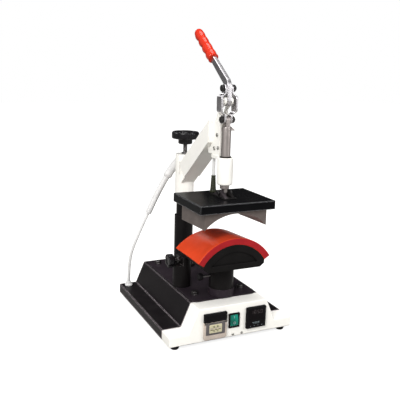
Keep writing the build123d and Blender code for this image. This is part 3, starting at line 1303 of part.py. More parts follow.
def lead_sleeve():
    """Outer sleeve over the upper stretch of the lead, up to the elbow."""
    a = Vector(*LEAD_POINTS[2])
    mouth, along = elbow_mouth()
    share = (SLEEVE_START_Z - a.Z) / (mouth.Z - a.Z)
    start = a + (mouth - a) * share
    length = (mouth - start).length
    plane = Plane(origin=start, z_dir=along)
    return extrude(plane * (Circle(LEAD_SLEEVE_RADIUS) - Circle(LEAD_RADIUS)), length)


def lead_elbow():
    """Elbow on the arm's sleeve that turns the lead down."""
    mouth, along = elbow_mouth()
    start = tuple(mouth - along * ELBOW_OVERLAP)
    points = [start, LEAD_POINTS[3], LEAD_POINTS[4]]
    outer = swept_tube(points, [bend_radius(*points)], ELBOW_RADIUS)
    bore = swept_tube(*lead_route(), LEAD_RADIUS + 0.1)
    mouth_plane = Plane(origin=mouth - along * ELBOW_OVERLAP, z_dir=along)
    counterbore = extrude(mouth_plane * Circle(LEAD_SLEEVE_RADIUS + 0.2), ELBOW_OVERLAP)
    column = upright(SOCKET_RADIUS, 0, COLUMN_Y, SLEEVE_BOTTOM_Z, SLEEVE_TOP_Z + 20)
    return outer - bore - counterbore - column


def ledge_gland():
    """Gland on the left ledge with a nut under the sheet."""
    low = LEDGE_Z - SHEET
    flange = upright(GLAND_RADIUS, LEAD_X, LEAD_Y, LEDGE_Z, LEDGE_Z + GLAND_HEIGHT - 2)
    flange = chamfer(flange.edges().sort_by(Axis.Z)[-1], 1.0)
    cone = Pos(LEAD_X, LEAD_Y, LEDGE_Z + GLAND_HEIGHT - 2 + 4) * Cone(7.5, 5.0, 8)
    shank = upright(LEAD_SLEEVE_RADIUS - 1, LEAD_X, LEAD_Y, low - 5, LEDGE_Z)
    nut = hexagon_up(17.0, LEAD_X, LEAD_Y, low - 5, low)
    body = flange + cone + shank + nut
    return body - upright(LEAD_RADIUS, LEAD_X, LEAD_Y, low - 10, LEDGE_Z + 30)


# ================================================================ write every node
NODES = {
    "base_body": base_body,
    "front_cover": front_cover,
    "chassis_pan": chassis_pan,
    "power_inlet": power_inlet,
    "feet": feet,
    "deck_plate": deck_plate,
    "deck_bolts": deck_bolts,
    "front_screws": front_screws,
    "temperature_controller": temperature_controller,
    "timer_body": timer_body,
    "timer_hood": timer_hood,
    "rocker_bezel": rocker_bezel,
    "rocker": rocker,
    "column_socket": column_socket,
    "flange_screws": flange_screws,
    "column_post": column_post,
    "column_sleeve": column_sleeve,
    "pressure_screw": pressure_screw,
    "pressure_wheel": pressure_wheel,
    "arm_box": arm_box,
    "handle_pin": handle_pin,
    "head_screws": head_screws,
    "guide_housing": guide_housing,
    "guide_bush": guide_bush,
    "wiper_ring": wiper_ring,
    "plunger": plunger,
    "link_bolt": link_bolt,
    "handle_bar": handle_bar,
    "grip": grip,
    "silicone_pad": silicone_pad,
    "lower_form": lower_form,
    "pedestal": pedestal,
    "pedestal_collar": pedestal_collar,
    "form_knob": form_knob,
    "side_post": side_post,
    "star_knob": star_knob,
    "star_stud": star_stud,
    "hot_platen": hot_platen,
    "heating_element": heating_element,
    "insulation": insulation,
    "head_cover": head_cover,
    "cover_skirt": cover_skirt,
    "platen_yoke": platen_yoke,
    "yoke_bolt": yoke_bolt,
    "heater_boot": heater_boot,
    "heater_lead": heater_lead,
    "power_lead": power_lead,
    "lead_sleeve": lead_sleeve,
    "lead_elbow": lead_elbow,
    "ledge_gland": ledge_gland,
}

PAIRS = {
    "head_plates": head_plate,
    "links": link,
    "lower_studs": lower_stud,
}

os.makedirs("parts", exist_ok=True)
for name, build in NODES.items():
    export_step(build(), f"parts/{name}.step")
for name, build in PAIRS.items():
    export_step(both_sides(build), f"parts/{name}.step")
for number in range(4):
    export_step(controller_key(number), f"parts/key_{number + 1}.step")
for number in range(3):
    export_step(timer_wheel(number), f"parts/thumbwheel_{number + 1}.step")
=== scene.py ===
import logging
import math
from dataclasses import dataclass, field
from enum import Enum
from typing import Any, Callable, Iterable, Sequence

import bmesh
import bpy
import numpy as np
from mathutils import Matrix, Vector


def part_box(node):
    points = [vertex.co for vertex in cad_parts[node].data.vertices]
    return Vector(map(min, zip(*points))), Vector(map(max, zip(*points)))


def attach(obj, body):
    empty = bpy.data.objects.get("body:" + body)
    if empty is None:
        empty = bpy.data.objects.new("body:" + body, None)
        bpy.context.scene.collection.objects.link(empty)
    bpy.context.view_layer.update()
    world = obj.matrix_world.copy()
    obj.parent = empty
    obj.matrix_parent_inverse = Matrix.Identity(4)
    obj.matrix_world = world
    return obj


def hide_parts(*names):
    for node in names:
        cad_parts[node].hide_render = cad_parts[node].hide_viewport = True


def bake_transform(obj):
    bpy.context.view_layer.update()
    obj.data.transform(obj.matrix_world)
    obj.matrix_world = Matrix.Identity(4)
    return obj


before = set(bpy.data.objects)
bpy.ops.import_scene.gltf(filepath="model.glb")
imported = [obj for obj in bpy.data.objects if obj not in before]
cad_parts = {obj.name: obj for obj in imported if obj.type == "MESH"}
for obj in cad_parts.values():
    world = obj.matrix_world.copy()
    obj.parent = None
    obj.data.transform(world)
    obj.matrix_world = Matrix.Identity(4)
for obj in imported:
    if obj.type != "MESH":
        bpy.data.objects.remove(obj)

Array = np.ndarray
LOG = logging.getLogger("cap_press")
METRE_PER_MM = 0.001
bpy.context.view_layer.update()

# Places shared with the CAD model, in millimetres: X right, Y back, Z up, floor at 0.
FRONT_Y = -164.0
PRESS_Y = -102.0
COLUMN_Y = 108.0
DECK_TOP_Z = 86.6
HANDLE_PIVOT_Z = 506.5
UPPER_PIVOT_Z = 532.0
LOWER_PIVOT_Z = 468.0
YOKE_AXIS_Z = 313.8


# ============================================================ geometry
class Plane(Enum):
    """World axes of a flat drawing: first axis, second axis, and the axis it is thickened along."""

    XY = (0, 1, 2)
    XZ = (0, 2, 1)
    YZ = (1, 2, 0)


@dataclass
class Solid:
    """Closed surface in millimetres.

    Args:
        points: Vertices, shape (n, 3).
        faces: Vertex indices of each face.
    """

    points: Array
    faces: list[tuple[int, ...]]

    def plus(self, *others: "Solid") -> "Solid":
        """Puts several separate surfaces into one.

        Args:
            others: Surfaces to add.

        Returns:
            The joined surface.
        """
        points, faces = self.points, list(self.faces)
        for other in others:
            shift = len(points)
            points = np.vstack([points, other.points])
            faces += [tuple(i + shift for i in face) for face in other.faces]
        return Solid(points, faces)

    def moved(self, offset: Sequence[float]) -> "Solid":
        """Shifts the surface.

        Args:
            offset: Shift along X, Y and Z.

        Returns:
            The shifted surface.
        """
        return Solid(self.points + np.asarray(offset, float), self.faces)

    def turned(self, degrees: float, axis: Sequence[float], centre: Sequence[float]) -> "Solid":
        """Turns the surface by the right-hand rule.

        Args:
            degrees: Angle.
            axis: Direction of the axis.
            centre: Point on the axis.

        Returns:
            The turned surface.
        """
        turn = np.array(Matrix.Rotation(math.radians(degrees), 3, Vector(axis)))
        middle = np.asarray(centre, float)
        return Solid((self.points - middle) @ turn.T + middle, self.faces)

    def mirrored_x(self) -> "Solid":
        """Mirrors the surface left to right.

        Returns:
            The mirrored surface.
        """
        return Solid(self.points * np.array([-1.0, 1.0, 1.0]), self.faces)


def lift(flat: Array, height: Array | float, plane: Plane) -> Array:
    """Places flat points in space.

    Args:
        flat: Points of the drawing, shape (..., 2).
        height: Distance along the plane's third axis.
        plane: Plane of the drawing.

    Returns:
        Points in space, shape (..., 3).
    """
    flat = np.asarray(flat, float)
    space = np.empty(flat.shape[:-1] + (3,))
    first, second, third = plane.value
    space[..., first] = flat[..., 0]
    space[..., second] = flat[..., 1]
    space[..., third] = height
    return space


def stack(rings: Array, joined: bool = False) -> Solid:
    """Skins a stack of rings with the same number of points.

    Args:
        rings: Points, shape (rings, points, 3).
        joined: True joins the last ring to the first, False closes both ends with flat caps.

    Returns:
        The closed surface.
    """
    count, size, _ = rings.shape
    ring = np.arange(count if joined else count - 1)[:, None]
    here = np.arange(size)[None, :]
    there = (here + 1) % size
    upper = (ring + 1) % count
    quads = np.stack(
        [ring * size + here, ring * size + there, upper * size + there, upper * size + here], axis=-1
    )
    faces = [tuple(int(i) for i in quad) for quad in quads.reshape(-1, 4)]
    if not joined:
        faces.append(tuple(range(size - 1, -1, -1)))
        faces.append(tuple(range((count - 1) * size, count * size)))
    return Solid(rings.reshape(-1, 3), faces)


def circle(radius: float, steps: int = 48, centre: Sequence[float] = (0.0, 0.0)) -> Array:
    """Points evenly round a circle.

    Args:
        radius: Radius.
        steps: Number of points.
        centre: Middle of the circle.

    Returns:
        Points, shape (steps, 2).
    """
    angle = np.arange(steps) * 2 * np.pi / steps
    return np.stack([np.cos(angle), np.sin(angle)], axis=1) * radius + np.asarray(centre, float)


def rounded(points: Sequence[Sequence[float]], radii: float | Sequence[float], steps: int = 5) -> Array:
    """Rounds the corners of a closed polygon, anticlockwise.

    Each corner with a radius becomes an arc tangent to both of its sides; a corner with radius zero stays.

    Args:
        points: Corners.
        radii: One radius for all corners, or one each.
        steps: Segments of each arc.

    Returns:
        Points, shape (n, 2).
    """
    corners = np.asarray(points, float)
    sizes = np.full(len(corners), float(radii)) if np.isscalar(radii) else np.asarray(radii, float)
    following = np.roll(corners, -1, axis=0)
    area = np.sum(corners[:, 0] * following[:, 1] - following[:, 0] * corners[:, 1])
    if area < 0:
        corners, sizes = corners[::-1], sizes[::-1]
    out: list[Array] = []
    for here, before, after, radius in zip(corners, np.roll(corners, 1, 0), np.roll(corners, -1, 0), sizes):
        into, away = here - before, after - here
        into, away = into / np.linalg.norm(into), away / np.linalg.norm(away)
        turn = math.atan2(into[0] * away[1] - into[1] * away[0], float(into @ away))
        if radius <= 0 or abs(turn) < 1e-3:
            out.append(here[None, :])
            continue
        reach = radius * math.tan(abs(turn) / 2)
        reach = min(reach, 0.49 * np.linalg.norm(here - before), 0.49 * np.linalg.norm(after - here))
        size = reach / math.tan(abs(turn) / 2)
        side = np.array([-into[1], into[0]]) * math.copysign(1.0, turn)
        middle = here - into * reach + side * size
        start = here - into * reach - middle
        angle = np.linspace(0, turn, steps + 1)
        out.append(
            middle
            + np.stack(
                [start[0] * np.cos(angle) - start[1] * np.sin(angle), start[0] * np.sin(angle) + start[1] * np.cos(angle)],
                axis=1,
            )
        )
    return np.vstack(out)


def inset(outline: Array, depth: float) -> Array:
    """Shrinks an anticlockwise outline: each point moves along the mean of its sides' inward normals.

    Args:
        outline: Points, shape (n, 2).
        depth: Distance, negative to grow.

    Returns:
        Points, shape (n, 2).
    """
    side = np.roll(outline, -1, 0) - outline
    side /= np.maximum(np.linalg.norm(side, axis=1, keepdims=True), 1e-9)
    normal = np.stack([-side[:, 1], side[:, 0]], axis=1)
    before = np.roll(normal, 1, 0)
    share = np.maximum(1 + np.sum(normal * before, axis=1, keepdims=True), 0.35)
    return outline + depth * (normal + before) / share


def rim(low: float, high: float, bevel: float, steps: int = 3) -> list[tuple[float, float]]:
    """Inset and height of each ring of a plate with quarter-round rims.

    Args:
        low: Height of the lower face.
        high: Height of the upper face.
        bevel: Radius of the rims.
        steps: Segments of each quarter round.

    Returns:
        Pairs of inset and height from the lower to the upper face.
    """
    angle = np.linspace(0, np.pi / 2, steps + 1)
    lower = [(bevel * (1 - math.sin(a)), low + bevel * (1 - math.cos(a))) for a in angle]
    upper = [(bevel * (1 - math.sin(a)), high - bevel * (1 - math.cos(a))) for a in angle[::-1]]
    return lower + upper


def profiled(outline: Array, rows: Sequence[tuple[float, float]], plane: Plane, joined: bool = False) -> Solid:
    """Stacks inset copies of an outline.

    Args:
        outline: Anticlockwise points, shape (n, 2).
        rows: Inset and height of each copy.
        plane: Plane of the drawing.
        joined: True for a ring-shaped solid whose last row meets the first.

    Returns:
        The closed surface.
    """
    return stack(np.stack([lift(inset(outline, depth), height, plane) for depth, height in rows]), joined)


def slab(outline: Array, low: float, high: float, bevel: float, plane: Plane) -> Solid:
    """Plate of an outline with quarter-round rims.

    Args:
        outline: Anticlockwise points, shape (n, 2).
        low: Height of one face.
        high: Height of the other face.
        bevel: Radius of the rims.
        plane: Plane of the drawing.

    Returns:
        The closed surface.
    """
    return profiled(outline, rim(low, high, bevel), plane)


def frame_ring(half_w: float, half_h: float, radius: float, centre: Sequence[float], steps: int = 5) -> Array:
    """Rounded rectangle with the same number of points whatever its size.

    Args:
        half_w: Half width.
        half_h: Half height.
        radius: Corner radius.
        centre: Middle of the rectangle.
        steps: Segments of each corner.

    Returns:
        Points, shape (4 * (steps + 1), 2).
    """
    angle = np.linspace(0, np.pi / 2, steps + 1)
    quarter = np.stack([np.cos(angle), np.sin(angle)], axis=1) * radius
    corner = np.array([half_w - radius, half_h - radius])
    turns = [(1, 1, 0), (-1, 1, 1), (-1, -1, 0), (1, -1, 1)]
    parts = []
    for sign_x, sign_y, flipped in turns:
        arc = (quarter + corner) * np.array([sign_x, sign_y])
        parts.append(arc[::-1] if flipped else arc)
    return np.vstack(parts) + np.asarray(centre, float)


def frame_stack(
    centre: Sequence[float], rows: Sequence[tuple[float, float, float, float]], plane: Plane, joined: bool = False
) -> Solid:
    """Stack of rounded rectangles.

    Args:
        centre: Middle of the rectangles.
        rows: Half width, half height, corner radius and height of each.
        plane: Plane of the drawing.
        joined: True joins the last row to the first.

    Returns:
        The closed surface.
    """
    return stack(np.stack([lift(frame_ring(w, h, r, centre), z, plane) for w, h, r, z in rows]), joined)


def block(low: Sequence[float], high: Sequence[float], bevel: float = 0.6) -> Solid:
    """Box between two corners with rounded edges.

    Args:
        low: Lowest corner.
        high: Highest corner.
        bevel: Radius of the edges.

    Returns:
        The closed surface.
    """
    half = (np.asarray(high, float) - np.asarray(low, float)) / 2
    middle = (np.asarray(high, float) + np.asarray(low, float)) / 2
    rows = [
        (half[0] - depth, half[1] - depth, max(bevel - depth, 0.02), height)
        for depth, height in rim(low[2], high[2], bevel)
    ]
    return frame_stack(middle[:2], rows, Plane.XY)


def soften(profile: Sequence[Sequence[float]], radius: float, steps: int = 4) -> Array:
    """Rounds the inner corners of an open profile, leaving its two ends.

    Args:
        profile: Points of the profile.
        radius: Largest corner radius.
        steps: Segments of each arc.

    Returns:
        Points, shape (n, 2).
    """
    points = np.asarray(profile, float)
    out = [points[:1]]
    for before, here, after in zip(points, points[1:], points[2:]):
        into, away = here - before, after - here
        reach = min(radius, 0.45 * np.linalg.norm(into), 0.45 * np.linalg.norm(away))
        start = here - into / np.linalg.norm(into) * reach
        end = here + away / np.linalg.norm(away) * reach
        share = np.linspace(0, 1, steps + 1)[:, None]
        out.append((1 - share) ** 2 * start + 2 * share * (1 - share) * here + share**2 * end)
    out.append(points[-1:])
    return np.vstack(out)


def basis(axis: Sequence[float]) -> tuple[Array, Array, Array]:
    """Two directions across an axis, and the axis itself.

    Args:
        axis: Direction.

    Returns:
        Three unit vectors that form a right-handed set.
    """
    along = np.asarray(axis, float) / np.linalg.norm(axis)
    helper = np.array([0.0, 0.0, 1.0]) if abs(along[2]) < 0.9 else np.array([1.0, 0.0, 0.0])
    across = np.cross(helper, along)
    across /= np.linalg.norm(across)
    return across, np.cross(along, across), along


def lathe(
    profile: Array,
    centre: Sequence[float],
    axis: Sequence[float] = (0, 0, 1),
    steps: int = 64,
    joined: bool = False,
    swell: Callable[[Array, Array], Array] | None = None,
) -> Solid:
    """Turns a profile of radius and height about an axis.

    Args:
        profile: Radius and height of each ring, shape (n, 2).
        centre: Point where height is zero.
        axis: Direction of the height.
        steps: Points round each ring.
        joined: True for a ring-shaped solid.
        swell: Takes angle and row number and returns a factor for the radius.

    Returns:
        The closed surface.
    """
    across, aside, along = basis(axis)
    rows = np.asarray(profile, float)
    angle = np.arange(steps) * 2 * np.pi / steps
    radius = np.repeat(rows[:, 0][:, None], steps, axis=1)
    if swell is not None:
        radius = radius * swell(angle[None, :], np.arange(len(rows))[:, None])
    ring = np.cos(angle)[None, :, None] * across + np.sin(angle)[None, :, None] * aside
    points = np.asarray(centre, float) + radius[..., None] * ring + rows[:, 1][:, None, None] * along
    return stack(points, joined)


def tube(path: Array, radii: Array, steps: int = 24, depth: float = 1.0) -> Solid:
    """Round bar along a path; each ring is carried on from the last without twist.

    Args:
        path: Points of the middle line, shape (n, 3).
        radii: Radius at each point.
        steps: Points round each ring.
        depth: Factor on the second half-width, for an oval bar.

    Returns:
        The closed surface.
    """
    ahead = np.gradient(path, axis=0)
    ahead /= np.linalg.norm(ahead, axis=1, keepdims=True)
    across = np.empty_like(path)
    across[0] = basis(ahead[0])[0]
    for n in range(1, len(path)):
        carried = across[n - 1] - ahead[n] * (across[n - 1] @ ahead[n])
        across[n] = carried / np.linalg.norm(carried)
    aside = np.cross(ahead, across)
    angle = np.arange(steps) * 2 * np.pi / steps
    ring = np.cos(angle)[None, :, None] * across[:, None, :] + depth * np.sin(angle)[None, :, None] * aside[:, None, :]
    return stack(path[:, None, :] + np.asarray(radii, float)[:, None, None] * ring)


def flat_bar(middle: Array, half_depth: Array, half_thick: float, corner: float) -> Solid:
    """Flat bar along a line in the YZ plane, with rounded edges; its thickness runs along X.

    Each section is a rounded rectangle square to the line.

    Args:
        middle: Points of the middle line, shape (n, 3).
        half_depth: Half depth of the bar at each point.
        half_thick: Half thickness along X.
        corner: Radius of the four edges.

    Returns:
        The closed surface.
    """
    ahead = np.gradient(middle, axis=0)
    ahead[:, 0] = 0
    ahead /= np.linalg.norm(ahead, axis=1, keepdims=True)
    side = np.stack([np.zeros(len(middle)), -ahead[:, 2], ahead[:, 1]], axis=1)
    rings = []
    for point, out, depth in zip(middle, side, half_depth):
        radius = min(corner, depth * 0.95)
        section = frame_ring(half_thick, depth, radius, (0.0, 0.0), 4)
        rings.append(point + section[:, :1] * np.array([1.0, 0.0, 0.0]) + section[:, 1:] * out)
    return stack(np.stack(rings))


def hexagon(width: float, centre: Sequence[float], turn: float = 0.0) -> Array:
    """Hexagon with slightly rounded corners, width across its flats.

    Args:
        width: Distance between opposite flats.
        centre: Middle.
        turn: Angle of the first corner in degrees.

    Returns:
        Points, shape (n, 2).
    """
    angle = np.radians(turn) + np.arange(6) * np.pi / 3
    corners = np.stack([np.cos(angle), np.sin(angle)], axis=1) * width / math.sqrt(3)
    return rounded(corners + np.asarray(centre, float), 0.5, 2)


def hex_head(
    width: float, thick: float, centre: Sequence[float], axis: Sequence[float], turn: float = 0.0, steps: int = 72
) -> Solid:
    """Hexagon head whose top corners are turned off by a cone, as on a real bolt.

    The radius of each ring is the smaller of the hexagon's reach at that angle and a cone's radius at that height.

    Args:
        width: Distance between opposite flats.
        thick: Height of the head.
        centre: Middle of the seat.
        axis: Direction away from the seat.
        turn: Angle of the first corner in degrees.
        steps: Points round each ring.

    Returns:
        The closed surface.
    """
    across, aside, along = basis(axis)
    angle = np.arange(steps) * 2 * np.pi / steps
    wedge = (angle - np.radians(turn)) % (np.pi / 3) - np.pi / 6
    reach = width / 2 / np.cos(wedge)
    heights = np.array([0.0, 0.0, 0.35, thick - 1.6, thick - 1.0, thick - 0.5, thick - 0.12, thick])
    cone = np.array([0.40, 0.50, 0.60, 0.60, 0.565, 0.53, 0.49, 0.45]) * width
    radius = np.minimum(reach[None, :], cone[:, None])
    radius[0] = cone[0] * 0.9
    ring = np.cos(angle)[None, :, None] * across + np.sin(angle)[None, :, None] * aside
    points = np.asarray(centre, float) + radius[..., None] * ring + heights[:, None, None] * along
    return stack(points)


def lobed(angle: Array, radius: float, lobes: int, bite: float, waist: float) -> Array:
    """Reach of a lobed disc at each angle: a circle less round bites whose middles lie just outside it.

    Args:
        angle: Angles in radians.
        radius: Radius over the lobes.
        lobes: Number of lobes.
        bite: Radius of a bite.
        waist: Distance of a bite's middle outside the circle.

    Returns:
        Distance from the middle at each angle.
    """
    away = radius + waist
    delta = (angle % (2 * np.pi / lobes)) - np.pi / lobes
    inside = bite**2 - (away * np.sin(delta)) ** 2
    cut = away * np.cos(delta) - np.sqrt(np.maximum(inside, 0.0))
    cut = np.where(inside > 0, cut, radius)
    blend = 1.2
    return -blend * np.logaddexp(-cut / blend, -radius / blend) + blend * np.log(2) * np.exp(-np.abs(cut - radius))


def digit(value: int, height: float, stroke: float) -> list[Array]:
    """Seven-segment figure as flat bars about the middle of the figure.

    Args:
        value: 0 to 9.
        height: Height of the figure.
        stroke: Width of a segment.

    Returns:
        Outline of each lit segment, shape (6, 2).
    """
    lit = ("abcdef", "bc", "abged", "abgcd", "fgbc", "afgcd", "afgedc", "abc", "abcdefg", "abcdfg")[value]
    w, h = height * 0.27, height / 2 - stroke / 2
    ends = {
        "a": ((-w, h), (w, h)), "b": ((w, h), (w, 0)), "c": ((w, 0), (w, -h)), "d": ((-w, -h), (w, -h)),
        "e": ((-w, 0), (-w, -h)), "f": ((-w, h), (-w, 0)), "g": ((-w, 0), (w, 0)),
    }
    bars = []
    for name in lit:
        start, end = (np.array(p) for p in ends[name])
        run = (end - start) / np.linalg.norm(end - start)
        side = np.array([-run[1], run[0]]) * stroke / 2
        gap = run * stroke * 0.16
        start, end = start + gap, end - gap
        tip = run * stroke / 2
        bars.append(
            np.array([start, start + tip - side, end - tip - side, end, end - tip + side, start + tip + side])
        )
    return bars


# ============================================================ shader building
class Nodes:
    """Adds shader nodes to a tree and links them."""

    def __init__(self, tree: bpy.types.NodeTree) -> None:
        """Takes the tree to fill.

        Args:
            tree: Material tree or node group.
        """
        self.tree = tree

    def add(self, kind: str, inputs: dict[str | int, Any] | None = None, **settings: Any) -> bpy.types.Node:
        """Adds one node.

        Args:
            kind: Node class name without its "ShaderNode" start.
            inputs: Socket name or number, with a value or the output socket to link.
            settings: Properties of the node.

        Returns:
            The node.
        """
        prefix = "" if kind.startswith("Node") else "ShaderNode"
        node = self.tree.nodes.new(prefix + kind)
        for name, value in settings.items():
            setattr(node, name, value)
        for key, value in (inputs or {}).items():
            if isinstance(value, bpy.types.NodeSocket):
                self.tree.links.new(value, node.inputs[key])
            else:
                node.inputs[key].default_value = value
        return node

    def scale(self, value: Any, low: float, high: float, to_low: float, to_high: float) -> bpy.types.NodeSocket:
        """Maps a value from one span to another, clamped.

        Args:
            value: Output socket.
            low: Start of the span.
            high: End of the span.
            to_low: Result at the start.
            to_high: Result at the end.

        Returns:
            The mapped value.
        """
        node = self.add("MapRange", {0: value, 1: low, 2: high, 3: to_low, 4: to_high})
        return node.outputs[0]

    def maths(self, operation: str, a: Any, b: Any = 0.0) -> bpy.types.NodeSocket:
        """Combines two values.

        Args:
            operation: Name of the operation.
            a: First value.
            b: Second value.

        Returns:
            The result.
        """
        return self.add("Math", {0: a, 1: b}, operation=operation, use_clamp=operation == "ADD").outputs[0]

    def mix(self, share: Any, a: Any, b: Any) -> bpy.types.NodeSocket:
        """Mixes two colours.

        Args:
            share: Amount of the second.
            a: First colour.
            b: Second colour.

        Returns:
            The mixed colour.
        """
        return self.add("Mix", {0: share, 6: a, 7: b}, data_type="RGBA").outputs[2]


def rgba(colour: Sequence[float]) -> tuple[float, float, float, float]:
    """Adds a full alpha to a linear colour.

    Args:
        colour: Red, green and blue.

    Returns:
        Red, green, blue and alpha.
    """
    return (*colour, 1.0)


class SharedEffects:
    """Node groups that several finishes use: an edge mask for the edge colour (real rubbing on some finishes, painted
    edge highlight or painted shade on others), fine grain, and settled dust.
    """

    def __init__(self) -> None:
        """Makes the groups once."""
        self.edge = self._edge()
        self.grain = self._grain()
        self.dust = self._dust()

    @staticmethod
    def _group(
        name: str, inputs: Sequence[tuple[str, str, Any]], outputs: Sequence[tuple[str, str]]
    ) -> tuple[bpy.types.NodeTree, Nodes, bpy.types.Node, bpy.types.Node]:
        """Starts a node group.

        Args:
            name: Group name.
            inputs: Name, socket type and default of each input.
            outputs: Name and socket type of each output.

        Returns:
            The group, its builder, its input node and its output node.
        """
        tree = bpy.data.node_groups.new(name, "ShaderNodeTree")
        for label, kind, default in inputs:
            socket = tree.interface.new_socket(name=label, in_out="INPUT", socket_type=kind)
            if default is not None:
                socket.default_value = default
        for label, kind in outputs:
            tree.interface.new_socket(name=label, in_out="OUTPUT", socket_type=kind)
        build = Nodes(tree)
        return tree, build, build.add("NodeGroupInput"), build.add("NodeGroupOutput")

    def _edge(self) -> bpy.types.NodeTree:
        """Mask of outward edges, broken up by noise, and the rounded normal."""
        tree, build, given, out = self._group(
            "edge_rub_and_light",
            [("Radius", "NodeSocketFloat", 0.0008), ("Break", "NodeSocketFloat", 0.5)],
            [("Mask", "NodeSocketFloat"), ("Normal", "NodeSocketVector")],
        )
        round_normal = build.add("Bevel", {"Radius": given.outputs["Radius"]}, samples=6)
        flat_normal = build.add("NewGeometry")
        match = build.add(
            "VectorMath", {0: round_normal.outputs[0], 1: flat_normal.outputs["Normal"]}, operation="DOT_PRODUCT"
        )
        bend = build.scale(match.outputs["Value"], 0.985, 0.80, 0.0, 1.0)
        where = build.add("TexCoord")
        noise = build.add("TexNoise", {"Vector": where.outputs["Object"], "Scale": 160.0, "Detail": 4.0})
        patch = build.scale(noise.outputs[0], 0.35, 0.65, 0.0, 1.0)
        whole = build.maths("SUBTRACT", 1.0, given.outputs["Break"])
        kept = build.maths("ADD", build.maths("MULTIPLY", patch, given.outputs["Break"]), whole)
        build.tree.links.new(build.maths("MULTIPLY", bend, kept), out.inputs["Mask"])
        build.tree.links.new(round_normal.outputs[0], out.inputs["Normal"])
        return tree

    def _grain(self) -> bpy.types.NodeTree:
        """Fine and broad noise of a stretched coordinate."""
        tree, build, given, out = self._group(
            "grain",
            [
                ("Stretch", "NodeSocketVector", (1.0, 1.0, 1.0)),
                ("Scale", "NodeSocketFloat", 900.0),
                ("Cloud", "NodeSocketFloat", 30.0),
            ],
            [("Fine", "NodeSocketFloat"), ("Broad", "NodeSocketFloat")],
        )
        where = build.add("TexCoord")
        pulled = build.add(
            "VectorMath", {0: where.outputs["Object"], 1: given.outputs["Stretch"]}, operation="MULTIPLY"
        )
        fine = build.add(
            "TexNoise", {"Vector": pulled.outputs[0], "Scale": given.outputs["Scale"], "Detail": 3.0}
        )
        broad = build.add(
            "TexNoise", {"Vector": where.outputs["Object"], "Scale": given.outputs["Cloud"], "Detail": 5.0}
        )
        build.tree.links.new(fine.outputs[0], out.inputs["Fine"])
        build.tree.links.new(broad.outputs[0], out.inputs["Broad"])
        return tree

    def _dust(self) -> bpy.types.NodeTree:
        """Mask of dust that lies on faces turned upwards."""
        tree, build, given, out = self._group(
            "dust", [("Amount", "NodeSocketFloat", 0.2)], [("Mask", "NodeSocketFloat")]
        )
        normal = build.add("NewGeometry")
        height = build.add("SeparateXYZ", {0: normal.outputs["Normal"]})
        facing = build.scale(height.outputs[2], 0.45, 1.0, 0.0, 1.0)
        where = build.add("TexCoord")
        speck = build.add("TexNoise", {"Vector": where.outputs["Object"], "Scale": 45.0, "Detail": 9.0})
        patch = build.scale(speck.outputs[0], 0.42, 0.68, 0.0, 1.0)
        settled = build.maths("MULTIPLY", facing, patch)
        build.tree.links.new(build.maths("MULTIPLY", settled, given.outputs["Amount"]), out.inputs["Mask"])
        return tree


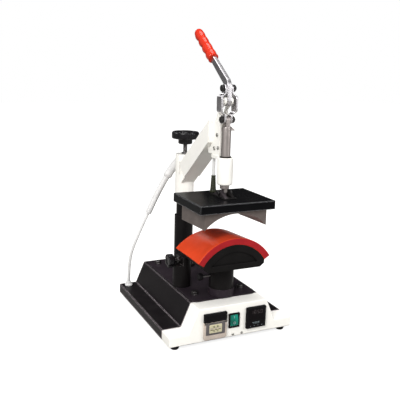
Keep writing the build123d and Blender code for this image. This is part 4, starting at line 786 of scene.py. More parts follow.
@dataclass(frozen=True)
class Finish:
    """Surface of a piece.

    Args:
        name: Material name.
        slot: Name of a material slot; not used.
        colour: Linear base colour.
        roughness: Middle roughness.
        metallic: 1 for bare metal.
        coat: Weight of a clear glossy coat.
        specular: Strength of the plain reflection.
        edge_rub_and_light_colour: Linear colour painted on the edges: real rubbing on some finishes, a painted
            highlight line on others, a painted shade line on the cream paint.
        edge_rub_and_light_share: Amount of that edge colour.
        broken: How patchy the edge colour is.
        edge: Radius in metres over which edges are rounded and tinted.
        grain: Scale of the fine grain.
        stretch: Factors on the grain's coordinate, for brushed or turned metal.
        relief: Height of the grain in metres.
        cloud: Share by which broad noise darkens the colour.
        dust: Amount of dust on upper faces.
        glow: Strength of emission.
        through: Weight of transmission.
        scatter: Weight of subsurface scattering.
    """

    name: str
    slot: str
    colour: tuple[float, float, float]
    roughness: float = 0.4
    metallic: float = 0.0
    coat: float = 0.0
    specular: float = 0.5
    edge_rub_and_light_colour: tuple[float, float, float] = (0.5, 0.5, 0.5)
    edge_rub_and_light_share: float = 0.0
    broken: float = 0.5
    edge: float = 0.0007
    grain: float = 900.0
    stretch: tuple[float, float, float] = (1.0, 1.0, 1.0)
    relief: float = 0.00002
    cloud: float = 0.08
    dust: float = 0.0
    glow: float = 0.0
    through: float = 0.0
    scatter: float = 0.0

    def make(self, effects: SharedEffects) -> bpy.types.Material:
        """Builds the material.

        Args:
            effects: Shared node groups.

        Returns:
            The material.
        """
        material = bpy.data.materials.new(self.name)
        material.use_nodes = True
        material.node_tree.nodes.clear()
        build = Nodes(material.node_tree)
        edge = build.add("Group", node_tree=effects.edge)
        edge.inputs["Radius"].default_value = self.edge
        edge.inputs["Break"].default_value = self.broken
        grain = build.add("Group", node_tree=effects.grain)
        grain.inputs["Stretch"].default_value = self.stretch
        grain.inputs["Scale"].default_value = self.grain
        broad = build.scale(grain.outputs["Broad"], 0.3, 0.7, 0.0, 1.0)
        dark = tuple(c * (1 - 2 * self.cloud) for c in self.colour)
        colour = build.mix(broad, rgba(dark), rgba(self.colour))
        # Edge colour: real rubbing on some finishes, a painted highlight or painted shade line along the edges on
        # others.
        if self.edge_rub_and_light_share > 0:
            share = build.maths("MULTIPLY", edge.outputs["Mask"], self.edge_rub_and_light_share)
            colour = build.mix(share, colour, rgba(self.edge_rub_and_light_colour))
        if self.dust > 0:
            dust = build.add("Group", node_tree=effects.dust)
            dust.inputs["Amount"].default_value = self.dust
            colour = build.mix(dust.outputs["Mask"], colour, rgba((0.42, 0.40, 0.37)))
        rough = build.scale(grain.outputs["Fine"], 0.25, 0.75, self.roughness * 0.8, min(self.roughness * 1.2, 1.0))
        bump = build.add(
            "Bump", {"Strength": 1.0, "Distance": self.relief, "Height": grain.outputs["Fine"], "Normal": edge.outputs["Normal"]}
        )
        surface = build.add(
            "BsdfPrincipled",
            {
                "Base Color": colour,
                "Roughness": rough,
                "Metallic": self.metallic,
                "Coat Weight": self.coat,
                "Coat Roughness": 0.08,
                "Specular IOR Level": self.specular,
                "Normal": bump.outputs[0],
                "Transmission Weight": self.through,
                "Subsurface Weight": self.scatter,
            },
        )
        if self.scatter > 0:
            surface.inputs["Subsurface Scale"].default_value = 0.002
        if self.glow > 0:
            self._shine(build, surface)
        build.add("OutputMaterial", {0: surface.outputs[0]})
        return material

    def _shine(self, build: Nodes, surface: bpy.types.Node) -> None:
        """Lets the surface glow in its own colour.

        Args:
            build: Node builder.
            surface: Surface shader.
        """
        surface.inputs["Emission Color"].default_value = rgba(self.colour)
        surface.inputs["Emission Strength"].default_value = self.glow


class Look(Enum):
    """Every finish of the press."""

    # Cream: its darker brown edge colour is a painted shade line along the edges.
    CREAM = Finish("cream_powder", "cream_paint", (0.87, 0.85, 0.80), 0.42, specular=0.32, edge_rub_and_light_share=0.55,
                   edge_rub_and_light_colour=(0.50, 0.43, 0.37), broken=0.25, grain=700.0, relief=0.00002, cloud=0.02, edge=0.0010)
    BLACK = Finish("black_powder", "black_paint", (0.0070, 0.0060, 0.0062), 0.32, specular=0.07, edge_rub_and_light_share=0.8,
                   edge_rub_and_light_colour=(0.22, 0.19, 0.19), broken=0.3, grain=800.0, relief=0.00002, cloud=0.10, dust=0.01, edge=0.0009)
    # Folded sheet: its pale edge colour is a painted highlight line along the folds.
    FOLDED = Finish("folded_black_sheet", "black_paint", (0.0085, 0.0068, 0.0078), 0.34, specular=0.07, edge_rub_and_light_share=0.95,
                    edge_rub_and_light_colour=(0.62, 0.54, 0.57), broken=0.08, grain=800.0, relief=0.00002, cloud=0.12, dust=0.01, edge=0.0046)
    # Deck: the plum lift of its base colour is a painted sheen.
    DECK_PAINTED_SHEEN = Finish("deck_black_painted_sheen", "black_paint", (0.0220, 0.0160, 0.0210), 0.34, specular=0.10, edge_rub_and_light_share=0.8,
                  edge_rub_and_light_colour=(0.30, 0.23, 0.19), broken=0.3, grain=800.0, relief=0.00002, cloud=0.15, dust=0.01, edge=0.0007)
    # Cover: its pale edge colour is a painted highlight line along the rounded top edges.
    COVER = Finish("cover_gloss_black", "black_paint", (0.0036, 0.0036, 0.0042), 0.24, specular=0.035, edge_rub_and_light_share=1.0,
                   edge_rub_and_light_colour=(0.36, 0.36, 0.37), broken=0.08, grain=600.0, relief=0.00001, cloud=0.10, dust=0.005, edge=0.0032)
    CAST = Finish("cast_satin_black", "cast_black", (0.0062, 0.0055, 0.0055), 0.46, specular=0.08, edge_rub_and_light_share=0.5,
                  edge_rub_and_light_colour=(0.014, 0.012, 0.012), grain=420.0, relief=0.00012, cloud=0.2, dust=0.01, edge=0.0014)
    # Yoke lit side: a lighter copy of the cast black given to the left lug, painted light; its pale edge colour is a
    # painted highlight line.
    YOKE_LIT_SIDE = Finish("casting_painted_lit_side", "cast_black", (0.050, 0.041, 0.045), 0.40, 0.4, specular=0.3, edge_rub_and_light_share=0.8,
                  edge_rub_and_light_colour=(0.26, 0.24, 0.24), broken=0.3, grain=500.0, relief=0.00004, cloud=0.2, edge=0.0009)
    # Silicone: its brighter orange edge colour is a painted highlight line along the pad's edges.
    SILICONE = Finish("silicone_orange_red", "silicone_red", (0.66, 0.058, 0.016), 0.20, specular=0.12, edge_rub_and_light_share=0.35,
                      edge_rub_and_light_colour=(0.78, 0.13, 0.06), broken=0.2, grain=500.0, relief=0.00002, cloud=0.08, edge=0.0012)
    # Shaded silicone: a darker copy of the pad's red for its front and rear faces, painted shade; its bright orange
    # edge colour is a painted highlight line.
    SILICONE_SHADED_FACE = Finish("silicone_painted_shade_face", "silicone_red", (0.34, 0.012, 0.016), 0.42, specular=0.12, edge_rub_and_light_share=0.8,
                           edge_rub_and_light_colour=(0.76, 0.11, 0.05), broken=0.1, grain=500.0, relief=0.00002, cloud=0.10, edge=0.0012)
    VINYL = Finish("dipped_vinyl_red", "grip_red", (0.56, 0.026, 0.008), 0.15, specular=0.22, grain=260.0,
                   relief=0.000004, cloud=0.07, edge=0.0010)
    STEEL = Finish("turned_steel", "steel", (0.40, 0.36, 0.345), 0.36, 1.0, edge_rub_and_light_share=0.4, edge_rub_and_light_colour=(0.66, 0.63, 0.61),
                   grain=260.0, stretch=(1.0, 1.0, 9.0), relief=0.00001, cloud=0.12, edge=0.0006)
    # Forging: its near-white edge colour is a painted highlight line along the edges.
    FORGED = Finish("plated_forging", "zinc", (0.58, 0.56, 0.575), 0.30, 1.0, edge_rub_and_light_share=0.6, edge_rub_and_light_colour=(0.92, 0.92, 0.92),
                    broken=0.2, grain=380.0, relief=0.000008, cloud=0.12, edge=0.0010)
    BOLT = Finish("zinc_bolt", "zinc", (0.50, 0.49, 0.46), 0.28, 1.0, edge_rub_and_light_share=0.5, edge_rub_and_light_colour=(0.85, 0.84, 0.80),
                  grain=600.0, relief=0.00001, cloud=0.25, edge=0.0006)
    DARK_BOLT = Finish("blackened_bolt", "zinc", (0.022, 0.020, 0.020), 0.32, 0.3, edge_rub_and_light_share=0.7, edge_rub_and_light_colour=(0.26, 0.25, 0.24),
                       grain=600.0, relief=0.00001, cloud=0.25, edge=0.0006)
    SCREW = Finish("oiled_thread", "steel", (0.15, 0.14, 0.14), 0.34, 1.0, edge_rub_and_light_share=0.5, edge_rub_and_light_colour=(0.45, 0.44, 0.43),
                   grain=500.0, relief=0.00001, cloud=0.2, edge=0.0005)
    PLATEN = Finish("machined_aluminium", "aluminium", (0.150, 0.124, 0.114), 0.46, 0.40, specular=0.15, edge_rub_and_light_share=0.4,
                    edge_rub_and_light_colour=(0.46, 0.43, 0.41), grain=240.0, stretch=(1.0, 7.0, 1.0), relief=0.00001, cloud=0.16, edge=0.0008)
    BRONZE = Finish("sintered_bronze", "bronze", (0.45, 0.26, 0.10), 0.40, 1.0, grain=900.0, cloud=0.2)
    PLASTIC = Finish("black_moulding", "black_plastic", (0.0050, 0.0044, 0.0050), 0.40, specular=0.06, edge_rub_and_light_share=0.5,
                     edge_rub_and_light_colour=(0.10, 0.09, 0.11), broken=0.2, grain=1500.0, relief=0.00002, cloud=0.08, edge=0.0006)
    KNOB = Finish("glossy_knob", "black_plastic", (0.0058, 0.0052, 0.0062), 0.25, specular=0.20, grain=900.0,
                  relief=0.00001, cloud=0.08, dust=0.01, edge=0.0012)
    WINDOW = Finish("smoked_window", "black_plastic", (0.0045, 0.0030, 0.0038), 0.12, specular=0.08, grain=500.0,
                    relief=0.000002, cloud=0.2, edge=0.0004)
    CASE = Finish("beige_case", "grey_plastic", (0.52, 0.44, 0.38), 0.30, specular=0.35, grain=500.0,
                  relief=0.00001, cloud=0.10, edge=0.0008)
    RECESS = Finish("grey_recess", "grey_plastic", (0.115, 0.103, 0.103), 0.40, specular=0.3, edge_rub_and_light_share=0.4,
                    edge_rub_and_light_colour=(0.30, 0.27, 0.25), grain=500.0, relief=0.00001, cloud=0.18, edge=0.0008)
    # Wheels in shade: the wheel drums' dark olive is painted shade inside the timer window.
    WHEEL_IN_SHADE = Finish("wheel_painted_shade", "cream_plastic", (0.13, 0.115, 0.045), 0.42, grain=900.0, cloud=0.08, edge=0.0004)
    IVORY = Finish("ivory_wheel", "cream_plastic", (0.56, 0.52, 0.34), 0.42, grain=900.0, cloud=0.08, edge=0.0004)
    INK = Finish("dark_figure", "cream_plastic", (0.020, 0.018, 0.006), 0.5, grain=900.0, cloud=0.05, edge=0.0002)
    MARK = Finish("pale_marking", "black_plastic", (0.26, 0.32, 0.34), 0.5, grain=900.0, cloud=0.15, edge=0.0002)
    SEGMENT = Finish("unlit_segment", "black_plastic", (0.018, 0.010, 0.012), 0.25, grain=900.0, cloud=0.1, edge=0.0002)
    LENS = Finish("green_lens", "green_plastic", (0.002, 0.26, 0.18), 0.18, specular=0.3, grain=600.0,
                  relief=0.00001, cloud=0.45, glow=0.08, edge=0.0008)
    SHEATH = Finish("white_sheath", "white_rubber", (0.66, 0.65, 0.64), 0.38, specular=0.3, edge_rub_and_light_share=0.0, grain=900.0,
                    relief=0.00002, cloud=0.05, edge=0.0006)
    RUBBER = Finish("black_rubber", "black_rubber", (0.010, 0.009, 0.009), 0.62, specular=0.2, grain=1300.0, relief=0.00005,
                    cloud=0.1, dust=0.02, edge=0.0008)
    BOOT = Finish("olive_boot", "black_rubber", (0.020, 0.022, 0.009), 0.45, specular=0.3, grain=1300.0, relief=0.00004,
                  cloud=0.2, edge=0.0006)
    BOARD = Finish("fibre_board", "board", (0.45, 0.42, 0.34), 0.85, grain=300.0, relief=0.0001, cloud=0.2)


class Palette:
    """Makes each material when it is first asked for."""

    def __init__(self) -> None:
        """Starts with the shared groups and no material."""
        self.effects = SharedEffects()
        self._made: dict[Look, bpy.types.Material] = {}

    def get(self, look: Look) -> bpy.types.Material:
        """Gives the material of a finish.

        Args:
            look: The finish.

        Returns:
            Its material.
        """
        if look not in self._made:
            self._made[look] = look.value.make(self.effects)
        return self._made[look]


# ============================================================ assemblies
class Assembly:
    """A group of pieces that belong together."""

    def __init__(self, palette: Palette) -> None:
        """Takes the palette.

        Args:
            palette: Source of materials.
        """
        self.palette = palette

    def piece(
        self, name: str, solid: Solid, look: Look, body: str | None, replaces: Iterable[str] = (), sharp: float = 38.0
    ) -> bpy.types.Object:
        """Turns a surface into a piece of the scene.

        Args:
            name: Object name.
            solid: Surface in millimetres.
            look: Finish.
            body: CAD body it moves with, or None for a piece attached to no body.
            replaces: CAD nodes it stands for.
            sharp: Angle in degrees above which an edge is shaded sharp.

        Returns:
            The object.
        """
        mesh = bpy.data.meshes.new(name)
        mesh.from_pydata((solid.points * METRE_PER_MM).tolist(), [], solid.faces)
        shape = bmesh.new()
        shape.from_mesh(mesh)
        bmesh.ops.recalc_face_normals(shape, faces=shape.faces)
        shape.to_mesh(mesh)
        shape.free()
        mesh.shade_smooth()
        mesh.set_sharp_from_angle(angle=math.radians(sharp))
        mesh.materials.append(self.palette.get(look))
        obj = bpy.data.objects.new(name, mesh)
        bpy.context.scene.collection.objects.link(obj)
        flat = obj.modifiers.new("flat_faces", "WEIGHTED_NORMAL")
        flat.mode = "FACE_AREA"
        flat.keep_sharp = True
        if body is not None:
            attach(obj, body)
        nodes = list(replaces)
        if nodes:
            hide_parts(*nodes)
        return obj

    def dress(self, looks: dict[str, Look]) -> None:
        """Gives CAD nodes their finish.

        Args:
            looks: Finish of each node.
        """
        for node, look in looks.items():
            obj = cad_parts[node]
            obj.data.materials.clear()
            obj.data.materials.append(self.palette.get(look))


@dataclass(frozen=True)
class HousingSizes:
    """Sizes of the folded housing, in millimetres."""

    half_width: float = 146.5
    bottom: float = 10.3
    ledge: float = 32.0
    deck: float = 83.6
    slope_foot: float = 103.5
    deck_half: float = 81.5
    sheet: float = 2.0
    bend: float = 3.0
    body_bend: float = 2.1
    seam: float = -122.0
    rear: float = 170.0
    deck_plate_half: float = 78.0
    deck_plate_front: float = -126.0
    deck_plate_rear: float = 162.0


class Housing(Assembly):
    """Pale front cover, dark body, deck plate, feet and their fasteners."""

    sizes = HousingSizes()

    def outline(self, bend: float) -> Array:
        """Front view of the fold.

        Args:
            bend: Radius of the folds.

        Returns:
            Anticlockwise points in X and Z.
        """
        s = self.sizes
        corners = [
            (-s.half_width, s.bottom), (s.half_width, s.bottom), (s.half_width, s.ledge), (s.slope_foot, s.ledge),
            (s.deck_half, s.deck), (-s.deck_half, s.deck), (-s.slope_foot, s.ledge), (-s.half_width, s.ledge),
        ]
        return rounded(corners, [0.6, 0.6] + [bend] * 6, 6)

    def build(self) -> None:
        """Makes the pieces of the housing."""
        s = self.sizes
        outline = self.outline(s.bend)
        lip = 1.4
        quarter = np.linspace(0, np.pi / 2, 5)
        rows = [(s.sheet, FRONT_Y + s.sheet), (s.sheet, s.seam - 0.5), (s.sheet * 0.6, s.seam - 0.25), (0.3, s.seam - 0.25),
                (0.0, s.seam - 0.6)]
        rows += [(lip * (1 - math.cos(a)), FRONT_Y + lip * (1 - math.sin(a))) for a in quarter]
        self.piece("front_cover_shell", profiled(outline, rows, Plane.XZ), Look.CREAM, "base", ["front_cover"])
        loop = [
            (0.3, s.seam + 0.15), (0.0, s.seam + 0.6), (0.0, s.rear - 0.6), (0.4, s.rear), (s.sheet - 0.4, s.rear),
            (s.sheet, s.rear - 0.5), (s.sheet, s.seam + 0.5), (s.sheet - 0.4, s.seam + 0.15),
        ]
        # The folded body's pale edge colour draws painted highlight lines along its folds.
        self.piece("body_shell", profiled(self.outline(s.body_bend), loop, Plane.XZ, joined=True), Look.FOLDED, "base", ["base_body"])
        middle = (0.0, (s.deck_plate_front + s.deck_plate_rear) / 2)
        depth = (s.deck_plate_rear - s.deck_plate_front) / 2
        rows4 = [
            (s.deck_plate_half - i, depth - i, 14.0 - i, z) for i, z in rim(s.deck, DECK_TOP_Z, 0.8)
        ]
        # The deck plate's plum base colour carries a painted sheen.
        self.piece("deck_plate_top", frame_stack(middle, rows4, Plane.XY), Look.DECK_PAINTED_SHEEN, "base", ["deck_plate"])
        self.piece("deck_bolt_set", self.bolts(), Look.SCREW, "base", ["deck_bolts"])
        self.piece("foot_set", self.feet(), Look.RUBBER, "base", ["feet"])
        self.piece("front_screw_set", self.front_screws(), Look.BOLT, "base", ["front_screws"])
        self.dress({"chassis_pan": Look.BLACK, "power_inlet": Look.PLASTIC})

    @staticmethod
    def bolts() -> Solid:
        """Four hexagon bolts with washers on the deck.

        Returns:
            Their surface.
        """
        parts = []
        for n, (x, y) in enumerate([(-56, -86), (56, -86), (-56, 136), (56, 136)]):
            washer = lathe(soften([(4.5, 0), (8.0, 0), (8.0, 1.6), (4.5, 1.6)], 0.3), (x, y, DECK_TOP_Z), joined=False)
            head = hex_head(13.0, 5.3, (x, y, DECK_TOP_Z + 1.6), (0, 0, 1), 20 + 25 * n)
            shank = lathe(np.array([(3.9, -14.0), (3.9, 1.0)]), (x, y, DECK_TOP_Z), steps=24)
            parts += [washer, head, shank]
        return parts[0].plus(*parts[1:])

    @staticmethod
    def feet() -> Solid:
        """Four turned feet.

        Returns:
            Their surface.
        """
        profile = soften([(0.1, 0), (7.5, 0), (9.2, 2.2), (10, 10), (0.1, 10)], 1.4)
        places = [(x, y, 0) for x in (-128.5, 128.5) for y in (-149, 155)]
        parts = [lathe(profile, place, steps=40) for place in places]
        return parts[0].plus(*parts[1:])

    @staticmethod
    def front_screws() -> Solid:
        """Two pan-head screws with a cross recess's dimple on the front panel.

        Returns:
            Their surface.
        """
        profile = soften([(1.4, -7.9), (1.4, 0.0), (3.0, 0.0), (2.9, 1.0), (1.6, 1.58), (0.9, 1.55), (0.5, 1.0), (0.05, 0.9)], 0.3)
        parts = [lathe(profile, (x, FRONT_Y, 16.0), (0, -1, 0), steps=28) for x in (0.0, 21.5)]
        return parts[0].plus(*parts[1:])


@dataclass(frozen=True)
class InstrumentSizes:
    """Sizes of the instruments, in millimetres."""

    proud: float = 6.0
    controller_x: float = 54.0
    controller_z: float = 48.0
    timer_x: float = -44.0
    timer_low: float = 14.5
    timer_split: float = 53.5
    timer_high: float = 72.5
    wheel_radius: float = 10.5
    wheel_pitch: float = 8.6
    wheel_lift: float = 21.6
    rocker_x: float = 1.5
    rocker_z: float = 48.0


class Instruments(Assembly):
    """Controller, timer and power switch on the front panel."""

    sizes = InstrumentSizes()

    def build(self) -> None:
        """Makes the instruments."""
        self.controller()
        self.timer()
        self.switch()

    def figures(self, values: str, centre: Sequence[float], height: float, stroke: float, pitch: float, y: float) -> Solid:
        """Row of seven-segment figures on a face towards -Y.

        Args:
            values: Digits of the row.
            centre: X and Z of the row's middle.
            height: Height of a figure.
            stroke: Width of a segment.
            pitch: Distance between figures.
            y: Place of the front of the segments.

        Returns:
            Their surface.
        """
        parts = []
        for n, value in enumerate(values):
            place = np.array([centre[0] + (n - (len(values) - 1) / 2) * pitch, centre[1]])
            for bar in digit(int(value), height, stroke):
                outline = rounded(bar + place, 0.0)
                parts.append(profiled(outline, [(0, y + 0.25), (0, y)], Plane.XZ))
        return parts[0].plus(*parts[1:])

    def controller(self) -> None:
        """Makes the square temperature controller and its keys."""
        s = self.sizes
        face = FRONT_Y - s.proud
        centre = (s.controller_x, s.controller_z)
        rows = [
            (21.7, 21.7, 1.0, FRONT_Y + 20), (21.7, 21.7, 1.0, FRONT_Y + 0.2), (23.6, 23.6, 1.6, FRONT_Y),
            (24.0, 24.0, 2.0, FRONT_Y - 0.4), (24.0, 24.0, 2.0, face + 1.5), (23.7, 23.7, 1.8, face + 0.7),
            (23.1, 23.1, 1.5, face + 0.15), (22.3, 22.3, 1.2, face), (20.9, 20.9, 0.9, face),
            (20.5, 20.5, 0.8, face + 0.2), (20.2, 20.2, 0.7, face + 0.9), (19.9, 19.9, 0.6, face + 1.0),
        ]
        self.piece("controller_case", frame_stack(centre, rows, Plane.XZ), Look.PLASTIC, "base", ["temperature_controller"])
        window = [(18.2, 12.0, 1.2, face + 1.2), (18.2, 12.0, 1.2, face + 0.75), (17.8, 11.6, 1.0, face + 0.55)]
        self.piece("controller_window", frame_stack((s.controller_x, s.controller_z + 6.8), window, Plane.XZ), Look.WINDOW, "base")
        y = face + 0.45
        upper = self.figures("1850", (s.controller_x + 0.5, s.controller_z + 12.4), 8.4, 1.15, 8.0, y)
        self.piece("controller_figures", upper, Look.SEGMENT, "base")
        marks = []
        for n, x in enumerate((46.6, 51.4, 56.0, 60.8)):
            for k in range(3):
                place = (x + 0.9 * k - 0.9, s.controller_z - 11.6 + 0.5 * ((n + k) % 2))
                marks.append(frame_stack(place, [(0.32, 0.9, 0.2, face + 0.95), (0.32, 0.9, 0.2, face + 0.75)], Plane.XZ))
        marks.append(frame_stack((s.controller_x, s.controller_z - 14.0), [(8.0, 0.22, 0.2, face + 0.95), (8.0, 0.22, 0.2, face + 0.8)], Plane.XZ))
        self.piece("controller_markings", marks[0].plus(*marks[1:]), Look.MARK, "base")
        for n in range(4):
            low, high = (np.array(corner) / METRE_PER_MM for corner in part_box(f"key_{n + 1}"))
            middle = (low + high) / 2
            half = (high - low) / 2
            rows = [
                (half[0], half[2], 1.2, high[1]), (half[0], half[2], 1.2, low[1] + 0.5),
                (half[0] - 0.15, half[2] - 0.15, 1.1, low[1] + 0.15), (half[0] - 0.5, half[2] - 0.5, 0.8, low[1]),
            ]
            self.piece(f"key_cap_{n + 1}", frame_stack(middle[[0, 2]], rows, Plane.XZ), Look.PLASTIC, f"key_{n + 1}", [f"key_{n + 1}"])
            dot = lathe(np.array([(0.75, -0.05), (0.75, 0.12), (0.5, 0.16)]), (middle[0], low[1], middle[2]), (0, -1, 0), 20)
            self.piece(f"key_dot_{n + 1}", dot, Look.MARK, f"key_{n + 1}")

    def timer(self) -> None:
        """Makes the preset timer and its thumbwheels."""
        s = self.sizes
        face = FRONT_Y - s.proud
        half = 26.5
        hood_z = (s.timer_split + s.timer_high) / 2
        tall = (s.timer_high - s.timer_split) / 2
        rows = [
            (half, tall, 1.0, FRONT_Y), (half, tall, 1.0, face + 1.2), (half - 0.3, tall - 0.3, 1.0, face + 0.5),
            (half - 1.0, tall - 1.0, 0.8, face), (half - 3.0, tall - 2.6, 0.8, face), (half - 3.3, tall - 2.9, 0.8, face + 0.35),
        ]
        self.piece("timer_hood_shell", frame_stack((s.timer_x, hood_z), rows, Plane.XZ), Look.PLASTIC, "base", ["timer_hood"])
        corners = [(s.timer_x - half, s.timer_low), (s.timer_x + half, s.timer_low), (s.timer_x + half, s.timer_split), (s.timer_x - half, s.timer_split)]
        outline = rounded(corners, [5.0, 5.0, 0.5, 0.5], 7)
        rows2 = [(0.0, FRONT_Y), (0.0, face + 2.2), (0.25, face + 1.5), (0.9, face + 1.05), (1.4, face + 1.0), (4.2, face + 1.0)]
        case = profiled(outline, rows2, Plane.XZ)
        body = block((s.timer_x - 24, FRONT_Y, 16.8), (s.timer_x + 24, FRONT_Y + 54, 70.2), 1.0)
        self.piece("timer_case_shell", case.plus(body), Look.CASE, "base", ["timer_body"])
        axis = self.wheel_axis()
        recess = [(22.5, 13.6, 2.0, face + 1.4), (22.5, 13.6, 2.0, face + 0.9), (22.1, 13.2, 1.8, face + 0.7),
                  (15.2, 9.8, 1.2, face + 0.7), (14.8, 9.4, 1.0, face + 1.1), (14.8, 9.4, 1.0, face + 1.4)]
        ring = frame_stack((s.timer_x, 38.7), recess, Plane.XZ, joined=True)
        self.piece("timer_recess", ring, Look.RECESS, "base")
        window = [(14.4, 9.0, 1.2, face + 1.2), (14.4, 9.0, 1.2, face + 0.25), (14.0, 8.6, 1.0, face + 0.05),
                  (12.8, 6.4, 0.6, face + 0.05), (12.6, 6.2, 0.5, face + 0.25), (12.6, 6.2, 0.5, face + 0.38),
                  (13.8, 8.4, 0.9, face + 0.38), (13.8, 8.4, 0.9, face + 1.2)]
        bars = [frame_stack((s.timer_x, 38.7), window, Plane.XZ, joined=True)]
        for x, z, wide, tall in ((-4.3, 38.7, 1.4, 6.6), (4.3, 38.7, 1.4, 6.6), (0.0, 43.3, 13.0, 1.9), (0.0, 34.0, 13.0, 1.7)):
            bars.append(frame_stack((s.timer_x + x, z), [(wide, tall, 0.3, face + 0.35), (wide, tall, 0.3, face + 0.1)], Plane.XZ))
        self.piece("timer_window", bars[0].plus(*bars[1:]), Look.IVORY, "base")
        for n in range(3):
            self.thumbwheel(n, axis)

    def wheel_axis(self) -> tuple[float, float]:
        """Y and Z of the thumbwheels' axle, from the CAD node.

        Returns:
            Y and Z in millimetres.
        """
        low, high = (np.array(corner) / METRE_PER_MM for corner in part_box("thumbwheel_2"))
        return float(low[1] + high[1]) / 2, float(low[2] + high[2]) / 2

    def thumbwheel(self, n: int, axis: tuple[float, float]) -> None:
        """Makes one ten-sided wheel with a figure on each face.

        Args:
            n: Number of the wheel from the left.
            axis: Y and Z of the axle.
        """
        s = self.sizes
        x = s.timer_x + (n - 1) * s.wheel_pitch
        body = f"thumbwheel_{n + 1}"
        angle = np.arange(10) * np.pi / 5 + np.pi / 10 - math.radians(s.wheel_lift)
        corners = np.stack([np.cos(angle), np.sin(angle)], axis=1) * s.wheel_radius + np.array(axis)
        drum = slab(rounded(corners, 0.6, 2), x - 3.5, x + 3.5, 0.4, Plane.YZ)
        # The wheel drums take the dark olive painted shade.
        self.piece(f"preset_wheel_{n + 1}", drum, Look.WHEEL_IN_SHADE, body, [body])
        flat = s.wheel_radius * math.cos(math.pi / 10)
        parts = []
        for value in range(10):
            for bar in digit(value, 4.7, 1.35):
                front = profiled(rounded(bar + np.array([x, axis[1]]), 0.0), [(0, axis[0] - flat + 0.1), (0, axis[0] - flat - 0.08)], Plane.XZ)
                parts.append(front.turned(36.0 * (value - (5, 0, 2)[n]) - s.wheel_lift, (1, 0, 0), (x, *axis)))
        self.piece(f"preset_figures_{n + 1}", parts[0].plus(*parts[1:]), Look.INK, body)

    def switch(self) -> None:
        """Makes the power switch."""
        s = self.sizes
        centre = (s.rocker_x, s.rocker_z)
        face = FRONT_Y - 3.0
        rows = [
            (10.6, 14.1, 0.8, FRONT_Y + 8), (12.2, 15.7, 1.2, FRONT_Y + 7.8), (12.2, 15.7, 1.2, FRONT_Y), (13.0, 16.5, 1.5, FRONT_Y),
            (13.0, 16.5, 1.5, face + 1.0), (12.7, 16.2, 1.4, face + 0.3), (12.0, 15.5, 1.2, face), (10.4, 13.9, 0.8, face),
            (9.9, 13.4, 0.6, face + 0.4), (9.8, 13.3, 0.5, FRONT_Y + 6.5), (9.4, 12.9, 0.4, FRONT_Y + 6.6),
        ]
        self.piece("switch_bezel", frame_stack(centre, rows, Plane.XZ), Look.PLASTIC, "base", ["rocker_bezel"])
        axis_y = FRONT_Y + 3.0
        crest = FRONT_Y - 3.6
        reach = 12.3
        profile = rounded(
            [(crest + 0.8, s.rocker_z - reach), (axis_y, s.rocker_z - reach * 0.9), (axis_y + 3, s.rocker_z - 3), (axis_y + 3, s.rocker_z + 3),
             (axis_y, s.rocker_z + reach * 0.9), (crest + 0.8, s.rocker_z + reach), (crest + 0.5, s.rocker_z)],
            [0.8, 0.5, 0.5, 0.5, 0.5, 0.8, 3.0], 4,
        )
        paddle = slab(profile, s.rocker_x - 9.5, s.rocker_x + 9.5, 0.7, Plane.YZ)
        turned = paddle.turned(-9.0, (1, 0, 0), (s.rocker_x, axis_y, s.rocker_z))
        self.piece("rocker_lens", turned, Look.LENS, "rocker", ["rocker"])
        stroke = frame_stack((s.rocker_x, s.rocker_z + 6.2), [(0.55, 2.6, 0.4, crest + 1.2), (0.55, 2.6, 0.4, crest + 0.35)], Plane.XZ)
        ring_rows = [(2.6, 2.9, 2.5, crest + 1.2), (2.6, 2.9, 2.5, crest + 0.35), (1.7, 2.0, 1.6, crest + 0.35), (1.7, 2.0, 1.6, crest + 1.2)]
        ring = frame_stack((s.rocker_x, s.rocker_z - 6.2), ring_rows, Plane.XZ, joined=True)
        marks = stroke.plus(ring).turned(-9.0, (1, 0, 0), (s.rocker_x, axis_y, s.rocker_z))
        self.piece("rocker_marks", marks, Look.MARK, "rocker")


